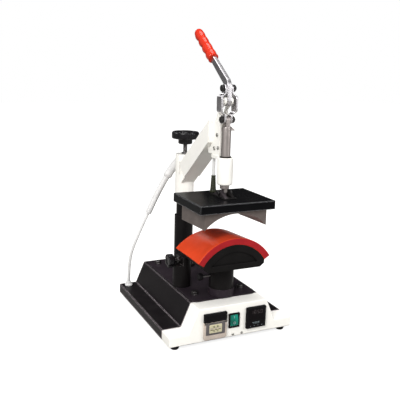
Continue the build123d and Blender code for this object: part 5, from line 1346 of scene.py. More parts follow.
class Column(Assembly):
    """Socket, post, sleeve, pressure screw and handwheel."""

    def build(self) -> None:
        """Makes the column's pieces."""
        base = (0, COLUMN_Y, 0)
        socket = soften([(22.9, 86.6), (32, 86.6), (32, 94.6), (23, 94.6), (23, 216.6), (19.2, 216.6), (19.2, 86.6)], 1.4)
        self.piece("socket_tube", lathe(socket, base, joined=True), Look.BLACK, "base", ["column_socket"])
        post = soften([(15, 86.8), (19, 86.8), (19, 326), (5.5, 326), (5.5, 316), (15, 316)], 0.8)
        self.piece("post_tube", lathe(post, base, joined=True), Look.BLACK, "base", ["column_post"])
        sleeve = soften([(19.3, 262), (23, 262), (23, 368), (5.6, 368), (5.6, 363), (19.3, 363)], 1.2)
        self.piece("sleeve_tube", lathe(sleeve, base, joined=True), Look.CREAM, "arm", ["column_sleeve"])
        screws = []
        for n in range(4):
            angle = math.radians(45 + 90 * n)
            place = (27.5 * math.cos(angle), COLUMN_Y + 27.5 * math.sin(angle), 94.6)
            profile = soften([(2.4, -7.9), (2.4, 0), (4, 0), (4, 4.5), (2.2, 4.5), (1.9, 2.2), (0.1, 2.0)], 0.3)
            screws.append(lathe(profile, place, steps=24))
        self.piece("flange_screw_set", screws[0].plus(*screws[1:]), Look.BOLT, "base", ["flange_screws"])
        self.piece("pressure_spindle", self.spindle(), Look.SCREW, "pressure_wheel", ["pressure_screw"])
        self.piece("handwheel", self.handwheel(), Look.KNOB, "pressure_wheel", ["pressure_wheel"], sharp=50.0)

    @staticmethod
    def spindle() -> Solid:
        """Threaded spindle: its radius falls and rises with height less the turn, which draws a helix.

        Returns:
            Its surface.
        """
        height = np.arange(285.0, 398.0, 0.25)
        angle = np.arange(40) * 2 * np.pi / 40
        phase = (height[:, None] / 2.0 - angle[None, :] / (2 * np.pi)) % 1.0
        depth = np.abs(phase - 0.5) * 2
        radius = 5.25 - 0.75 * np.clip(depth * 1.6 - 0.3, 0, 1)
        plain = (height[:, None] > 366) & (height[:, None] < 373)
        radius = np.where(plain, 5.2, radius)
        points = np.stack(
            [radius * np.cos(angle), COLUMN_Y + radius * np.sin(angle), np.repeat(height[:, None], 40, 1)], axis=-1
        )
        collar = soften([(5.0, 368.25), (8.5, 368.25), (8.5, 371.25), (5.0, 371.25)], 0.4)
        lower = soften([(5.0, 359.75), (8.5, 359.75), (8.5, 362.75), (5.0, 362.75)], 0.4)
        base = (0, COLUMN_Y, 0)
        return stack(points).plus(lathe(collar, base), lathe(lower, base))

    @staticmethod
    def handwheel() -> Solid:
        """Lobed handwheel: each ring's reach goes from round at the hub to lobed at the rim.

        Returns:
            Its surface.
        """
        rows = [
            (10, 0, 392.0), (14.2, 0, 392.0), (16.4, 0, 392.9), (17.0, 0, 395.0), (17.0, 0, 401.0), (18.0, 0.05, 403.2),
            (22.0, 0.4, 404.2), (29.0, 0.9, 404.6), (31.6, 1, 405.4), (32.7, 1, 407.2), (33.0, 1, 409.5), (33.0, 1, 416.5),
            (32.8, 1, 418.6), (32.0, 1, 420.6), (30.6, 0.95, 421.7), (28.6, 0.8, 422.0), (26.6, 0.35, 421.7), (25.0, 0.05, 420.6),
            (23.6, 0, 419.4), (20, 0, 418.9), (10.5, 0, 419.0), (9.2, 0, 419.8), (8.6, 0, 420.8), (7.4, 0, 421.3), (2.0, 0, 421.4),
        ]
        angle = np.arange(144) * 2 * np.pi / 144
        reach = lobed(angle, 33.0, 6, 7.5, 4.5) / 33.0
        data = np.array(rows)
        radius = data[:, :1] * (1 + data[:, 1:2] * (reach[None, :] - 1))
        points = np.stack(
            [radius * np.cos(angle), COLUMN_Y + radius * np.sin(angle), np.repeat(data[:, 2:], 144, 1)], axis=-1
        )
        return stack(points)


class ArmAndHead(Assembly):
    """Box arm, head plates, guide and their fasteners."""

    def build(self) -> None:
        """Makes the arm's pieces."""
        self.dress({"arm_box": Look.CREAM})
        left = slab(self.plate_outline(), -9.2, -5.2, 0.6, Plane.YZ)
        right = slab(self.plate_outline(), 5.2, 9.2, 0.6, Plane.YZ)
        bosses = []
        for side in (-1, 1):
            ring = soften([(4.0, 0), (6.4, 0), (6.4, 2.8), (4.0, 2.8)], 0.4)
            bosses.append(lathe(ring, (side * 9.2, PRESS_Y, HANDLE_PIVOT_Z), (side, 0, 0), 40, joined=True))
        self.piece("head_plate_pair", left.plus(right, *bosses), Look.CREAM, "arm", ["head_plates"])
        pin = soften([(0.1, -12.8), (4.0, -12.8), (4.0, 12.8), (0.1, 12.8)], 0.7)
        self.piece("pivot_pin", lathe(pin, (0, PRESS_Y, HANDLE_PIVOT_Z), (1, 0, 0), 40), Look.BOLT, "arm", ["handle_pin"])
        self.piece("plate_screws", self.screws(), Look.BOLT, "arm", ["head_screws"])
        self.guide()
        self.welds()

    @staticmethod
    def plate_outline() -> Array:
        """Side view of a head plate: a deep plate whose neck curls forward to the pivot lobe.

        Returns:
            Anticlockwise points in Y and Z.
        """
        start, end = math.radians(257.0), math.radians(70.0)
        sweep = np.linspace(start, end, 22)
        lobe = np.stack([PRESS_Y + 9.0 * np.cos(sweep), HANDLE_PIVOT_Z + 9.0 * np.sin(sweep)], axis=1)
        corners = [(-37, 391), (-90, 391), (-90, 488.5), *lobe.tolist(), (-81, 490.5), (-67, 461.5), (-57, 458), (-37, 442.7)]
        radii = [1.5, 2.5, 5.0] + [0.0] * 22 + [8.0, 12.0, 3.0, 1.5]
        return rounded(corners, radii, 6)

    @staticmethod
    def screws() -> Solid:
        """Three through screws with round heads on the left and nuts on the right.

        Returns:
            Their surface.
        """
        parts = []
        for y, z in ((-79.0, 434.0), (-85.5, 407.0), (-68.0, 404.5)):
            head = soften([(2.4, -1), (4.2, 0), (4.2, 1.4), (3.2, 2.2), (1.8, 2.2), (1.5, 1.2), (0.1, 1.1)], 0.3)
            parts.append(lathe(head, (-9.2, y, z), (-1, 0, 0), 30))
            parts.append(hex_head(8.0, 4.0, (9.2, y, z), (1, 0, 0), 10))
        return parts[0].plus(*parts[1:])

    def guide(self) -> None:
        """Makes the guide, its bush and the wiper."""
        centre = (0, PRESS_Y, 0)
        barrel = [(12.5, 331.6), (13.2, 331.0), (14.2, 331.0)]
        angle = np.linspace(0, np.pi / 2, 7)
        barrel += [(13.6 + 3.4 * math.sin(a), 334.4 - 3.4 * math.cos(a)) for a in angle]
        barrel += [(17.0, 386.8), (16.7, 388.2), (15.8, 389.0), (12.9, 389.0), (12.5, 388.6)]
        tube_part = lathe(np.array(barrel), centre, joined=True, steps=72)
        foot = block((-11.7, -90, 383), (11.7, -58, 391), 0.8)
        lug = block((-5.2, -90, 385), (5.2, -58, 442), 0.5)
        self.piece("guide_barrel", tube_part.plus(foot, lug), Look.CREAM, "arm", ["guide_housing"])
        bush = soften([(10.05, 332), (12.45, 332), (12.45, 389), (10.05, 389)], 0.4)
        self.piece("bush_ring", lathe(bush, centre, joined=True), Look.BRONZE, "arm", ["guide_bush"])
        wiper = soften([(10.05, 389), (12.0, 389), (12.0, 391.2), (11.0, 392), (10.05, 391.6)], 0.4)
        self.piece("wiper", lathe(wiper, centre, joined=True), Look.RUBBER, "arm", ["wiper_ring"])

    def welds(self) -> None:
        """Makes the weld beads where the arm meets the sleeve."""
        height = np.linspace(352, 322, 60)
        beads = []
        for side in (-1, 1):
            reach = 21.0
            y = COLUMN_Y - math.sqrt(23.0**2 - 19.6**2)
            path = np.stack([np.full(60, side * 20.2), y + (352 - height) * -0.05, height], axis=1)
            radius = 1.25 + 0.25 * np.sin(np.arange(60) * 1.3)
            radius[[0, -1]] = 0.4
            beads.append(tube(path, radius, 10))
            _ = reach
        self.piece("arm_weld", beads[0].plus(*beads[1:]), Look.CREAM, "arm")


class Toggle(Assembly):
    """Handle, grip, bowed links and plunger."""

    def build(self) -> None:
        """Makes the toggle's pieces."""
        # The forged links and handle carry a near-white edge colour: painted highlight lines.
        self.piece("link_pair", self.link().plus(self.link().mirrored_x()), Look.FORGED, "toggle_links", ["links"], sharp=50.0)
        studs = self.bolt(LOWER_PIVOT_Z, 9.7, stud_reach=5.0)
        self.piece("lower_stud_pair", studs, Look.DARK_BOLT, "toggle_links", ["lower_studs"])
        upper = self.bolt(UPPER_PIVOT_Z, 9.95, stud_reach=0.0)
        self.piece("link_bolt_set", upper, Look.DARK_BOLT, "handle", ["link_bolt"])
        self.piece("handle_forging", self.handle(), Look.FORGED, "handle", ["handle_bar"], sharp=50.0)
        self.piece("vinyl_grip", self.grip(), Look.VINYL, "handle", ["grip"], sharp=70.0)
        self.plunger()

    @staticmethod
    def link() -> Solid:
        """Right link. Along its height its middle moves out by a smooth step, and its depth swells at mid height.

        Returns:
            Its surface.
        """
        radius = 8.5
        tip = np.linspace(0, np.pi / 2, 9)
        low = LOWER_PIVOT_Z - radius * np.cos(tip * 0.985)
        high = UPPER_PIVOT_Z + radius * np.cos(tip[::-1] * 0.985)
        body = np.linspace(LOWER_PIVOT_Z + 2, UPPER_PIVOT_Z - 2, 44)
        z = np.concatenate([low, body, high])
        from_end = np.minimum(z - LOWER_PIVOT_Z, UPPER_PIVOT_Z - z)
        ramp = np.clip((from_end - 8.7) / 9.0, 0, 1)
        out = 7.35 + 9.7 * ramp * ramp * (3 - 2 * ramp)
        swell = np.clip((from_end - 12.0) / 9.0, 0, 1)
        depth = np.where(from_end < 0, np.sqrt(np.maximum(radius**2 - from_end**2, 0.2)), radius + 2.5 * swell * swell * (3 - 2 * swell))
        rings = []
        for height, x, half in zip(z, out, depth):
            section = frame_ring(2.35, half, min(1.1, half * 0.9), (0.0, 0.0), 4)
            ring = np.stack([section[:, 0] + x, section[:, 1] + PRESS_Y, np.full(len(section), height)], axis=1)
            rings.append(ring)
        return stack(np.stack(rings))

    @staticmethod
    def bolt(z: float, seat: float, stud_reach: float) -> Solid:
        """Bolt across the toggle with a hexagon head on the left and a nut on the right.

        Args:
            z: Height of the bolt.
            seat: Distance of the heads' seats from the middle.
            stud_reach: Where the studs end inside, or 0 for a bolt right through.

        Returns:
            Its surface.
        """
        head = hex_head(13.0, 5.3, (-seat, PRESS_Y, z), (-1, 0, 0), 12)
        nut = hex_head(13.0, 6.5, (seat, PRESS_Y, z), (1, 0, 0), 31)
        end = soften([(0.1, 0), (3.9, 0), (3.9, 2.0), (3.2, 2.6), (0.1, 2.6)], 0.4)
        tip = lathe(end, (seat + 6.2, PRESS_Y, z), (1, 0, 0), 30)
        if stud_reach > 0:
            shanks = [
                lathe(np.array([(3.95, stud_reach), (3.95, seat + 0.5)]), (0, PRESS_Y, z), (side, 0, 0), 30) for side in (-1, 1)
            ]
        else:
            shanks = [lathe(np.array([(3.95, -seat - 0.5), (3.95, seat + 0.5)]), (0, PRESS_Y, z), (1, 0, 0), 30)]
        return head.plus(nut, tip, *shanks)

    @staticmethod
    def handle_line(distance: Array) -> tuple[Array, Array]:
        """Middle line of the upper bar.

        Args:
            distance: Distance from the bend.

        Returns:
            Y and Z.
        """
        lean = math.radians(35.6)
        return PRESS_Y + distance * math.cos(lean), HANDLE_PIVOT_Z + 34.8 + distance * math.sin(lean)

    def handle(self) -> Solid:
        """Forged handle: hub, straight shank, a bend of even radius and a tapering upper bar.

        Returns:
            Its surface.
        """
        lean = math.radians(35.6)
        hub_turn = np.linspace(0.06, np.pi / 2, 8)
        z_hub = HANDLE_PIVOT_Z - 11.0 * np.cos(hub_turn)
        w_hub = 11.0 * np.sin(hub_turn)
        turn = math.pi / 2 - lean
        bend = 13.0
        reach = bend * math.tan(turn / 2)
        corner_z = HANDLE_PIVOT_Z + 34.8
        z_shank = np.linspace(HANDLE_PIVOT_Z + 1.5, corner_z - reach, 10)
        w_shank = np.linspace(10.9, 8.6, 10)
        angle = np.linspace(0, turn, 10)[1:]
        arc_y = PRESS_Y + bend * (1 - np.cos(angle))
        arc_z = corner_z - reach + bend * np.sin(angle)
        far = np.linspace(reach, 174.0, 40)[1:]
        bar_y, bar_z = self.handle_line(far)
        taper = np.interp(far, [reach, 86.0, 174.0], [8.4, 6.9, 5.4])
        y = np.concatenate([np.full(len(z_hub) + len(z_shank), PRESS_Y), arc_y, bar_y])
        z = np.concatenate([z_hub, z_shank, arc_z, bar_z])
        width = np.concatenate([w_hub, w_shank, np.full(len(angle), 8.5), taper])
        middle = np.stack([np.zeros(len(y)), y, z], axis=1)
        return flat_bar(middle, width, 4.75, 1.5)

    def grip(self) -> Solid:
        """Dipped grip. Four waves run along its length, shallow above and deep below, and it closes in a dome.

        Returns:
            Its surface.
        """
        lean = math.radians(35.6)
        above = np.array([0.0, -math.sin(lean), math.cos(lean)])
        start, length = 86.0, 104.5
        share = np.linspace(0, 1, 140)
        place = start + share * length
        wave = 0.5 - 0.5 * np.cos(2 * np.pi * 4 * np.clip((share - 0.03) / 0.90, 0, 1))
        upper = np.interp(share, [0, 0.012, 0.05, 1], [10.6, 11.9, 10.7, 10.3]) + 0.5 * wave
        lower = np.interp(share, [0, 0.012, 0.05, 1], [10.8, 12.4, 10.5, 9.9]) + 2.9 * wave * (1 - 0.25 * share)
        closing = np.sqrt(np.maximum(1 - np.clip((place - 180.5) / 10.0, 0, 1) ** 2, 0.003))
        radius = (upper + lower) / 2 * closing
        angle = np.arange(48) * 2 * np.pi / 48
        middle_y, middle_z = self.handle_line(place)
        middle = np.stack([np.zeros(len(place)), middle_y, middle_z], axis=1)
        middle += ((upper - lower) / 2 * closing)[:, None] * above
        ring = np.cos(angle)[:, None] * np.array([0.95, 0, 0]) + np.sin(angle)[:, None] * above
        return stack(middle[:, None, :] + radius[:, None, None] * ring[None])

    def plunger(self) -> None:
        """Makes the push rod with its two tongues."""
        centre = (0, PRESS_Y, 0)
        rod = soften([(0.1, 322.5), (10, 322.5), (10, 453), (0.1, 453)], 1.2)
        eye = np.linspace(0, np.pi, 14)
        upper = np.vstack([
            [(PRESS_Y - 8.0, 450.0), (PRESS_Y + 8.0, 450.0)],
            np.stack([PRESS_Y + 8.0 * np.cos(eye), LOWER_PIVOT_Z + 8.0 * np.sin(eye)], axis=1),
        ])
        lower = np.vstack([
            np.stack([PRESS_Y - 6.2 * np.cos(eye), YOKE_AXIS_Z - 6.2 * np.sin(eye)], axis=1),
            [(PRESS_Y + 6.2, 324.0), (PRESS_Y - 6.2, 324.0)],
        ])
        tongue = slab(rounded(upper, 0.0), -4.75, 4.75, 0.6, Plane.YZ)
        foot = slab(rounded(lower, 0.0), -4.0, 4.0, 0.5, Plane.YZ)
        wedge = rounded([(3.75, 445.5), (17.5, 445.5), (17.5, 447.0), (9.0, 454.0), (3.75, 454.0)], 0.4)
        lug = slab(wedge, PRESS_Y - 4.0, PRESS_Y + 4.0, 0.4, Plane.XZ)
        self.piece("push_rod", lathe(rod, centre, steps=72).plus(tongue, foot, lug), Look.STEEL, "plunger", ["plunger"])


@dataclass(frozen=True)
class FormSizes:
    """Sizes of the arched pad and platen, in millimetres."""

    half_width: float = 84.3
    edge: float = 182.0
    crown_front: float = 228.5
    crown_rear: float = 219.0
    thick: float = 14.0
    pad_depth: float = 120.0
    form_depth: float = 118.0
    platen_half: float = 72.0
    platen_depth: float = 116.0
    platen_top: float = 293.0
    lift: float = 52.3


class ArchedForms(Assembly):
    """Silicone pad, cast form, platen, and what carries them."""

    sizes = FormSizes()

    def arc(self, share: float) -> tuple[float, float]:
        """Centre height and radius of the pad's top, between its front and its rear.

        Args:
            share: 0 at the front, 1 at the rear.

        Returns:
            Height of the centre and radius.
        """
        s = self.sizes
        pairs = []
        for crown in (s.crown_front, s.crown_rear):
            rise = crown - s.edge
            radius = (s.half_width**2 + rise**2) / (2 * rise)
            pairs.append((crown - radius, radius))
        (c0, r0), (c1, r1) = pairs
        return c0 + (c1 - c0) * share, r0 + (r1 - r0) * share

    def pad_ring(self, y: float, trim: float) -> Array:
        """Section of the pad at a depth.

        Args:
            y: Place along Y.
            trim: Distance by which the section is inset, for rounded ends.

        Returns:
            Points, shape (n, 3).
        """
        s = self.sizes
        centre, radius = self.arc((y - PRESS_Y) / s.pad_depth + 0.5)
        reach = math.asin(s.half_width / radius) - (trim + 0.4) / radius
        sweep = np.linspace(reach, -reach, 60)
        corner = 2.2
        fine = np.linspace(0, np.pi / 2, 4)
        outer, inner = radius - trim, radius - s.thick + trim
        top = np.stack([outer * np.sin(sweep), centre + outer * np.cos(sweep)], axis=1)
        under = np.stack([inner * np.sin(sweep[::-1]), centre + inner * np.cos(sweep[::-1])], axis=1)
        outline = np.vstack([top, under])
        radii = np.zeros(len(outline))
        radii[[0, 59, 60, 119]] = 0.0
        _ = (corner, fine, radii)
        return lift(outline, y, Plane.XZ)

    def build(self) -> None:
        """Makes the arched pieces and the pedestal."""
        s = self.sizes
        front, rear = PRESS_Y - s.pad_depth / 2, PRESS_Y + s.pad_depth / 2
        arch = self.piece("silicone_arch", self.pad(front, rear), Look.SILICONE, "base", ["silicone_pad"], sharp=45.0)
        # The front and rear faces take the darker shaded copy of the silicone: painted shade.
        arch.data.materials.append(self.palette.get(Look.SILICONE_SHADED_FACE))
        for face in arch.data.polygons:
            face.material_index = int(abs(face.normal.y) > 0.9)
        self.piece("cast_form", self.form(), Look.CAST, "base", ["lower_form"], sharp=40.0)
        self.piece("arched_platen", self.platen(), Look.PLATEN, "hot_head", ["hot_platen"], sharp=40.0)
        centre = (0, PRESS_Y, 0)
        tube_profile = soften([(22, 86.8), (27, 86.8), (27, 159.3), (22, 159.3)], 0.8)
        self.piece("pedestal_tube", lathe(tube_profile, centre, joined=True), Look.BLACK, "base", ["pedestal"])
        collar = soften([(27.05, 86.6), (29, 86.6), (29, 103.6), (27.05, 103.6)], 0.7)
        # The collar takes the deck finish with its painted sheen.
        self.piece("collar_ring", lathe(collar, centre, joined=True), Look.DECK_PAINTED_SHEEN, "base", ["pedestal_collar"])
        self.form_knob()

    def pad(self, front: float, rear: float) -> Solid:
        """Pad: its section shrinks a little over the first and last millimetre.

        Args:
            front: Y of the front face.
            rear: Y of the rear face.

        Returns:
            Its surface.
        """
        angle = np.linspace(0, np.pi / 2, 4)
        soft = 1.1
        rows = [(front + soft * (1 - math.sin(a)), soft * (1 - math.cos(a))) for a in angle[::-1]]
        rows = [(front + soft * (1 - math.cos(a)), soft * (1 - math.sin(a))) for a in angle]
        middle = [(front + (rear - front) * t, 0.0) for t in (0.25, 0.5, 0.75)]
        back = [(rear - soft * (1 - math.cos(a)), soft * (1 - math.sin(a))) for a in angle[::-1]]
        return stack(np.stack([self.pad_ring(y, trim) for y, trim in rows + middle + back]))

    def form_ring(self, share: float, y: float, depth: float, floor: bool) -> Array:
        """Section of the cast form, or of the pocket in its face.

        Args:
            share: 0 at the front, 1 at the rear.
            y: Place along Y.
            depth: Distance of the arc below the pad's underside.
            floor: True for the pocket, whose lower side is one flat line.

        Returns:
            Points, shape (n, 3).
        """
        s = self.sizes
        centre, radius = self.arc(share)
        size = radius - s.thick - 0.15 - depth
        if floor:
            line = 170.8 + max(0.0, 16.0 - depth)
            reach = math.acos(np.clip((line - centre) / size, -1, 1))
            x = size * math.sin(reach)
            bottom = np.stack([np.linspace(-x * 0.96, x * 0.96, 6), np.full(6, line)], axis=1)
        else:
            reach = math.asin(s.half_width / radius)
            bottom = np.array([(-71.5, 167.4), (-70.6, 166.3), (-61.5, 159.6), (61.5, 159.6), (70.6, 166.3), (71.5, 167.4)])
        sweep = np.linspace(reach, -reach, 60)
        top = np.stack([size * np.sin(sweep), centre + size * np.cos(sweep)], axis=1)
        return lift(np.vstack([top, bottom]), y, Plane.XZ)

    def form(self) -> Solid:
        """Cast form: pocket floor, pocket wall, rim, outer skin and the same again at the rear.

        Returns:
            Its surface.
        """
        s = self.sizes
        front, rear = PRESS_Y - s.form_depth / 2, PRESS_Y + s.form_depth / 2
        rings = [
            self.form_ring(0, front + 4.0, 17.0, True), self.form_ring(0, front + 3.6, 16.3, True),
            self.form_ring(0, front + 0.6, 15.6, True), self.form_ring(0, front, 14.8, True),
            self.form_ring(0, front, 0.9, False), self.form_ring(0.005, front + 0.8, 0.0, False),
            self.form_ring(0.5, PRESS_Y, 0.0, False),
            self.form_ring(0.995, rear - 0.8, 0.0, False), self.form_ring(1, rear, 0.9, False),
            self.form_ring(1, rear, 14.8, True), self.form_ring(1, rear - 0.6, 15.6, True),
            self.form_ring(1, rear - 3.6, 16.3, True), self.form_ring(1, rear - 4.0, 17.0, True),
        ]
        return stack(np.stack(rings))

    def platen_ring(self, y: float, trim: float) -> Array:
        """Section of the platen at a depth.

        Args:
            y: Place along Y.
            trim: Distance by which the section is inset.

        Returns:
            Points, shape (n, 3).
        """
        s = self.sizes
        centre, radius = self.arc((y - PRESS_Y) / s.platen_depth + 0.5)
        centre += s.lift
        size = radius + trim
        half = s.platen_half - trim
        reach = math.asin((half - 0.7) / size)
        sweep = np.linspace(-reach, reach, 60)
        arch = np.stack([size * np.sin(sweep), centre + size * np.cos(sweep)], axis=1)
        foot = centre + size * math.cos(reach) + 0.5
        top = s.platen_top - trim
        sides = np.array([(half, foot), (half, top - 0.5), (half - 0.5, top), (-half + 0.5, top), (-half, top - 0.5), (-half, foot)])
        return lift(np.vstack([arch, sides]), y, Plane.XZ)

    def platen(self) -> Solid:
        """Platen: flat top, arched underside, edges eased by half a millimetre.

        Returns:
            Its surface.
        """
        s = self.sizes
        front, rear = PRESS_Y - s.platen_depth / 2, PRESS_Y + s.platen_depth / 2
        rows = [(front, 0.7), (front + 0.2, 0.2), (front + 0.7, 0.0), (PRESS_Y, 0.0), (rear - 0.7, 0.0), (rear - 0.2, 0.2), (rear, 0.7)]
        return stack(np.stack([self.platen_ring(y, trim) for y, trim in rows]))

    def form_knob(self) -> None:
        """Makes the form's lock screw with its ribbed knob."""
        start = (-27.0, PRESS_Y, 131.0)
        screw = lathe(np.array([(2.9, -4.5), (2.9, 19.5)]), start, (-1, 0, 0), 24)
        profile = soften([(2.0, 19.0), (6.0, 19.0), (7.9, 20.4), (8.0, 27.4), (6.6, 29.0), (0.1, 29.0)], 0.8)
        ribs = lathe(profile, start, (-1, 0, 0), 96, swell=lambda a, row: 1 - 0.05 * (0.5 + 0.5 * np.cos(a * 16)) * ((row > 3) & (row < 18)))
        self.piece("lock_screw", screw, Look.SCREW, "form_knob")
        self.piece("lock_knob", ribs, Look.PLASTIC, "form_knob", ["form_knob"])


@dataclass(frozen=True)
class SidePostSizes:
    """Sizes of the side post and its star knob, in millimetres."""

    middle: tuple[float, float] = (-61.0, -25.0)
    radius: float = 20.5
    top: float = 156.6
    ledge: float = 138.5
    lug_face: float = 5.0
    knob_z: float = 148.0
    knob_radius: float = 16.0


class SidePost(Assembly):
    """Round post cut back at its top to a ledge and a lug, with a star knob on a stud through the lug."""

    sizes = SidePostSizes()

    def build(self) -> None:
        """Makes the post, knob and stud."""
        s = self.sizes
        x, y = s.middle
        round_part = lathe(soften([(0.1, DECK_TOP_Z + 0.2), (s.radius, DECK_TOP_Z + 0.2), (s.radius, s.ledge), (0.1, s.ledge)], 0.8), (x, y, 0))
        reach = math.acos(-s.lug_face / s.radius)
        sweep = np.linspace(-reach, reach, 40)
        lug = np.stack([x + s.radius * np.cos(sweep), y + s.radius * np.sin(sweep)], axis=1)
        upper = slab(lug, s.ledge - 3.0, s.top, 1.4, Plane.XY)
        self.piece("side_post_round", round_part.plus(upper), Look.BLACK, "base", ["side_post"])
        outward = np.array([-1.0, 0.0, 0.0])
        seat = np.array([x - s.lug_face, y, s.knob_z])
        self.piece("star_grip", self.star(seat, outward), Look.KNOB, "star_knob", ["star_knob"], sharp=50.0)
        stud = lathe(soften([(0.1, -12.9), (4.0, -12.9), (4.0, 25.4), (3.4, 26.0), (0.1, 26.0)], 0.4), seat, outward, 36)
        nut = hex_head(13.0, 5.4, seat + outward * 0.25, outward, 14)
        self.piece("stud_and_nut", stud.plus(nut), Look.SCREW, "star_knob", ["star_stud"])

    def star(self, seat: Array, outward: Array) -> Solid:
        """Star knob: a round hub behind, then a disc whose reach waves five times round.

        Args:
            seat: Where the stud leaves the lug.
            outward: Direction of the stud.

        Returns:
            Its surface.
        """
        full = self.sizes.knob_radius
        rows = np.array([
            (4.2, 0, 14.2), (7.4, 0, 14.0), (8.0, 0, 14.6), (8.0, 0, 17.2), (9.5, 0.3, 18.0), (14.0, 1, 18.1), (15.4, 1, 19.0),
            (full, 1, 21.0), (full, 1, 28.0), (15.4, 1, 29.9), (14.2, 1, 30.7), (12.2, 0.9, 31.0), (9.0, 0.2, 31.0), (7.4, 0, 30.4),
            (6.8, 0, 29.6), (5.0, 0, 29.3), (0.1, 0, 29.2),
        ])

        def swell(angle: Array, row: Array) -> Array:
            """Share of the full reach at an angle, per row.

            Args:
                angle: Angles round the axis.
                row: Numbers of the rows.

            Returns:
                Factors on the radius.
            """
            return 1 + rows[:, 1:2] * (lobed(angle, full, 5, 5.5, 2.0) / full - 1)

        return lathe(rows[:, [0, 2]], seat, outward, 120, swell=swell)


class HotHead(Assembly):
    """Cover, yoke and boot above the platen."""

    def build(self) -> None:
        """Makes the head's pieces."""
        centre = (0.0, PRESS_Y + 2.0)
        half_x, half_y = 87.0, 70.0
        angle = np.linspace(0, np.pi / 2, 5)
        rows = [(half_x - 1.5, half_y - 1.5, 1.0, 303.0), (half_x - 1.5, half_y - 1.5, 1.0, 286.4), (half_x - 1.1, half_y - 1.1, 1.2, 286.0),
                (half_x - 0.4, half_y - 0.4, 1.8, 286.0), (half_x, half_y, 2.2, 286.4)]
        rows += [(half_x - 1.4 * (1 - math.cos(a)), half_y - 1.4 * (1 - math.cos(a)), 2.2 - 0.6 * math.sin(a), 303.2 + 1.4 * math.sin(a)) for a in angle]
        # The cover's pale edge colour is a painted highlight along its rounded top edges.
        self.piece("cover_box", frame_stack(centre, rows, Plane.XY), Look.COVER, "hot_head", ["head_cover"])
        self.dress({"cover_skirt": Look.BLACK, "insulation": Look.BOARD, "heating_element": Look.PLATEN})
        forging = self.piece("yoke_forging", self.yoke(), Look.CAST, "hot_head", ["platen_yoke"])
        # The left lug takes the lighter lit-side copy of the casting: painted light on the side facing the lamps.
        forging.data.materials.append(self.palette.get(Look.YOKE_LIT_SIDE))
        for face in forging.data.polygons:
            face.material_index = int(face.center.x < -4.0 * METRE_PER_MM and face.center.z > 306.7 * METRE_PER_MM)
        head = hex_head(10.0, 4.2, (-11.75, PRESS_Y, YOKE_AXIS_Z), (-1, 0, 0), 8)
        nut = hex_head(10.0, 5.0, (11.75, PRESS_Y, YOKE_AXIS_Z), (1, 0, 0), 20)
        shank = lathe(soften([(0.1, -12.0), (2.95, -12.0), (2.95, 18.2), (0.1, 18.2)], 0.4), (0, PRESS_Y, YOKE_AXIS_Z), (1, 0, 0), 28)
        self.piece("tilt_bolt", head.plus(nut, shank), Look.DARK_BOLT, "hot_head", ["yoke_bolt"])
        self.piece("boot_cone", self.boot(), Look.BOOT, "hot_head", ["heater_boot"])

    @staticmethod
    def yoke() -> Solid:
        """Base plate and two lugs with round tips.

        Returns:
            Its surface.
        """
        base = block((-15.75, PRESS_Y - 30.5, 304.55), (15.75, PRESS_Y + 30.5, 306.6), 0.7)
        sweep = np.linspace(math.radians(28), math.radians(152), 14)
        tip = np.stack([PRESS_Y + 7.0 * np.cos(sweep), YOKE_AXIS_Z + 7.0 * np.sin(sweep)], axis=1)
        corners = [(PRESS_Y - 28.5, 306.2), (PRESS_Y + 28.5, 306.2), (PRESS_Y + 26.5, 308.1), *tip.tolist(), (PRESS_Y - 26.5, 308.1)]
        outline = rounded(corners, [0.0, 0.0, 1.5] + [0.0] * 14 + [1.5], 4)
        right = slab(outline, 4.25, 11.75, 0.8, Plane.YZ)
        left = slab(outline, -11.75, -4.25, 0.8, Plane.YZ)
        return base.plus(left, right)

    @staticmethod
    def boot() -> Solid:
        """Tapered boot with five flexing grooves: its radius dips at each.

        Returns:
            Its surface.
        """
        share = np.linspace(0, 1, 70)
        outer = np.interp(share, [0, 0.12, 0.16, 0.28, 1.0], [7.0, 7.0, 6.4, 6.2, 4.7])
        groove = 0.55 * np.clip(np.cos((share - 0.35) * 2 * np.pi * 8.0) - 0.35, 0, 1) * ((share > 0.3) & (share < 0.93))
        outside = np.stack([outer - groove, 304.6 + share * 38.0], axis=1)
        inside = np.array([(3.55, 342.6), (3.55, 304.6)])
        return lathe(np.vstack([outside, inside]), (0, PRESS_Y + 53.0, 0), joined=True, steps=40)


@dataclass(frozen=True)
class LeadSizes:
    """Route and sizes of the leads, in millimetres."""

    diameter: float = 7.0
    sleeve: float = 15.0
    power: tuple[tuple[float, float, float], ...] = (
        (-128.5, 153.0, 24.0), (-128.5, 153.0, 92.0), (-112.0, 153.0, 146.0), (-20.0, 153.0, 332.0), (0.0, 128.0, 352.0),
    )
    heater: tuple[tuple[float, float, float], ...] = (
        (0.0, -49.0, 303.2), (0.0, -49.0, 350.0), (0.0, -49.0, 400.0), (0.0, -49.0, 446.0),
    )


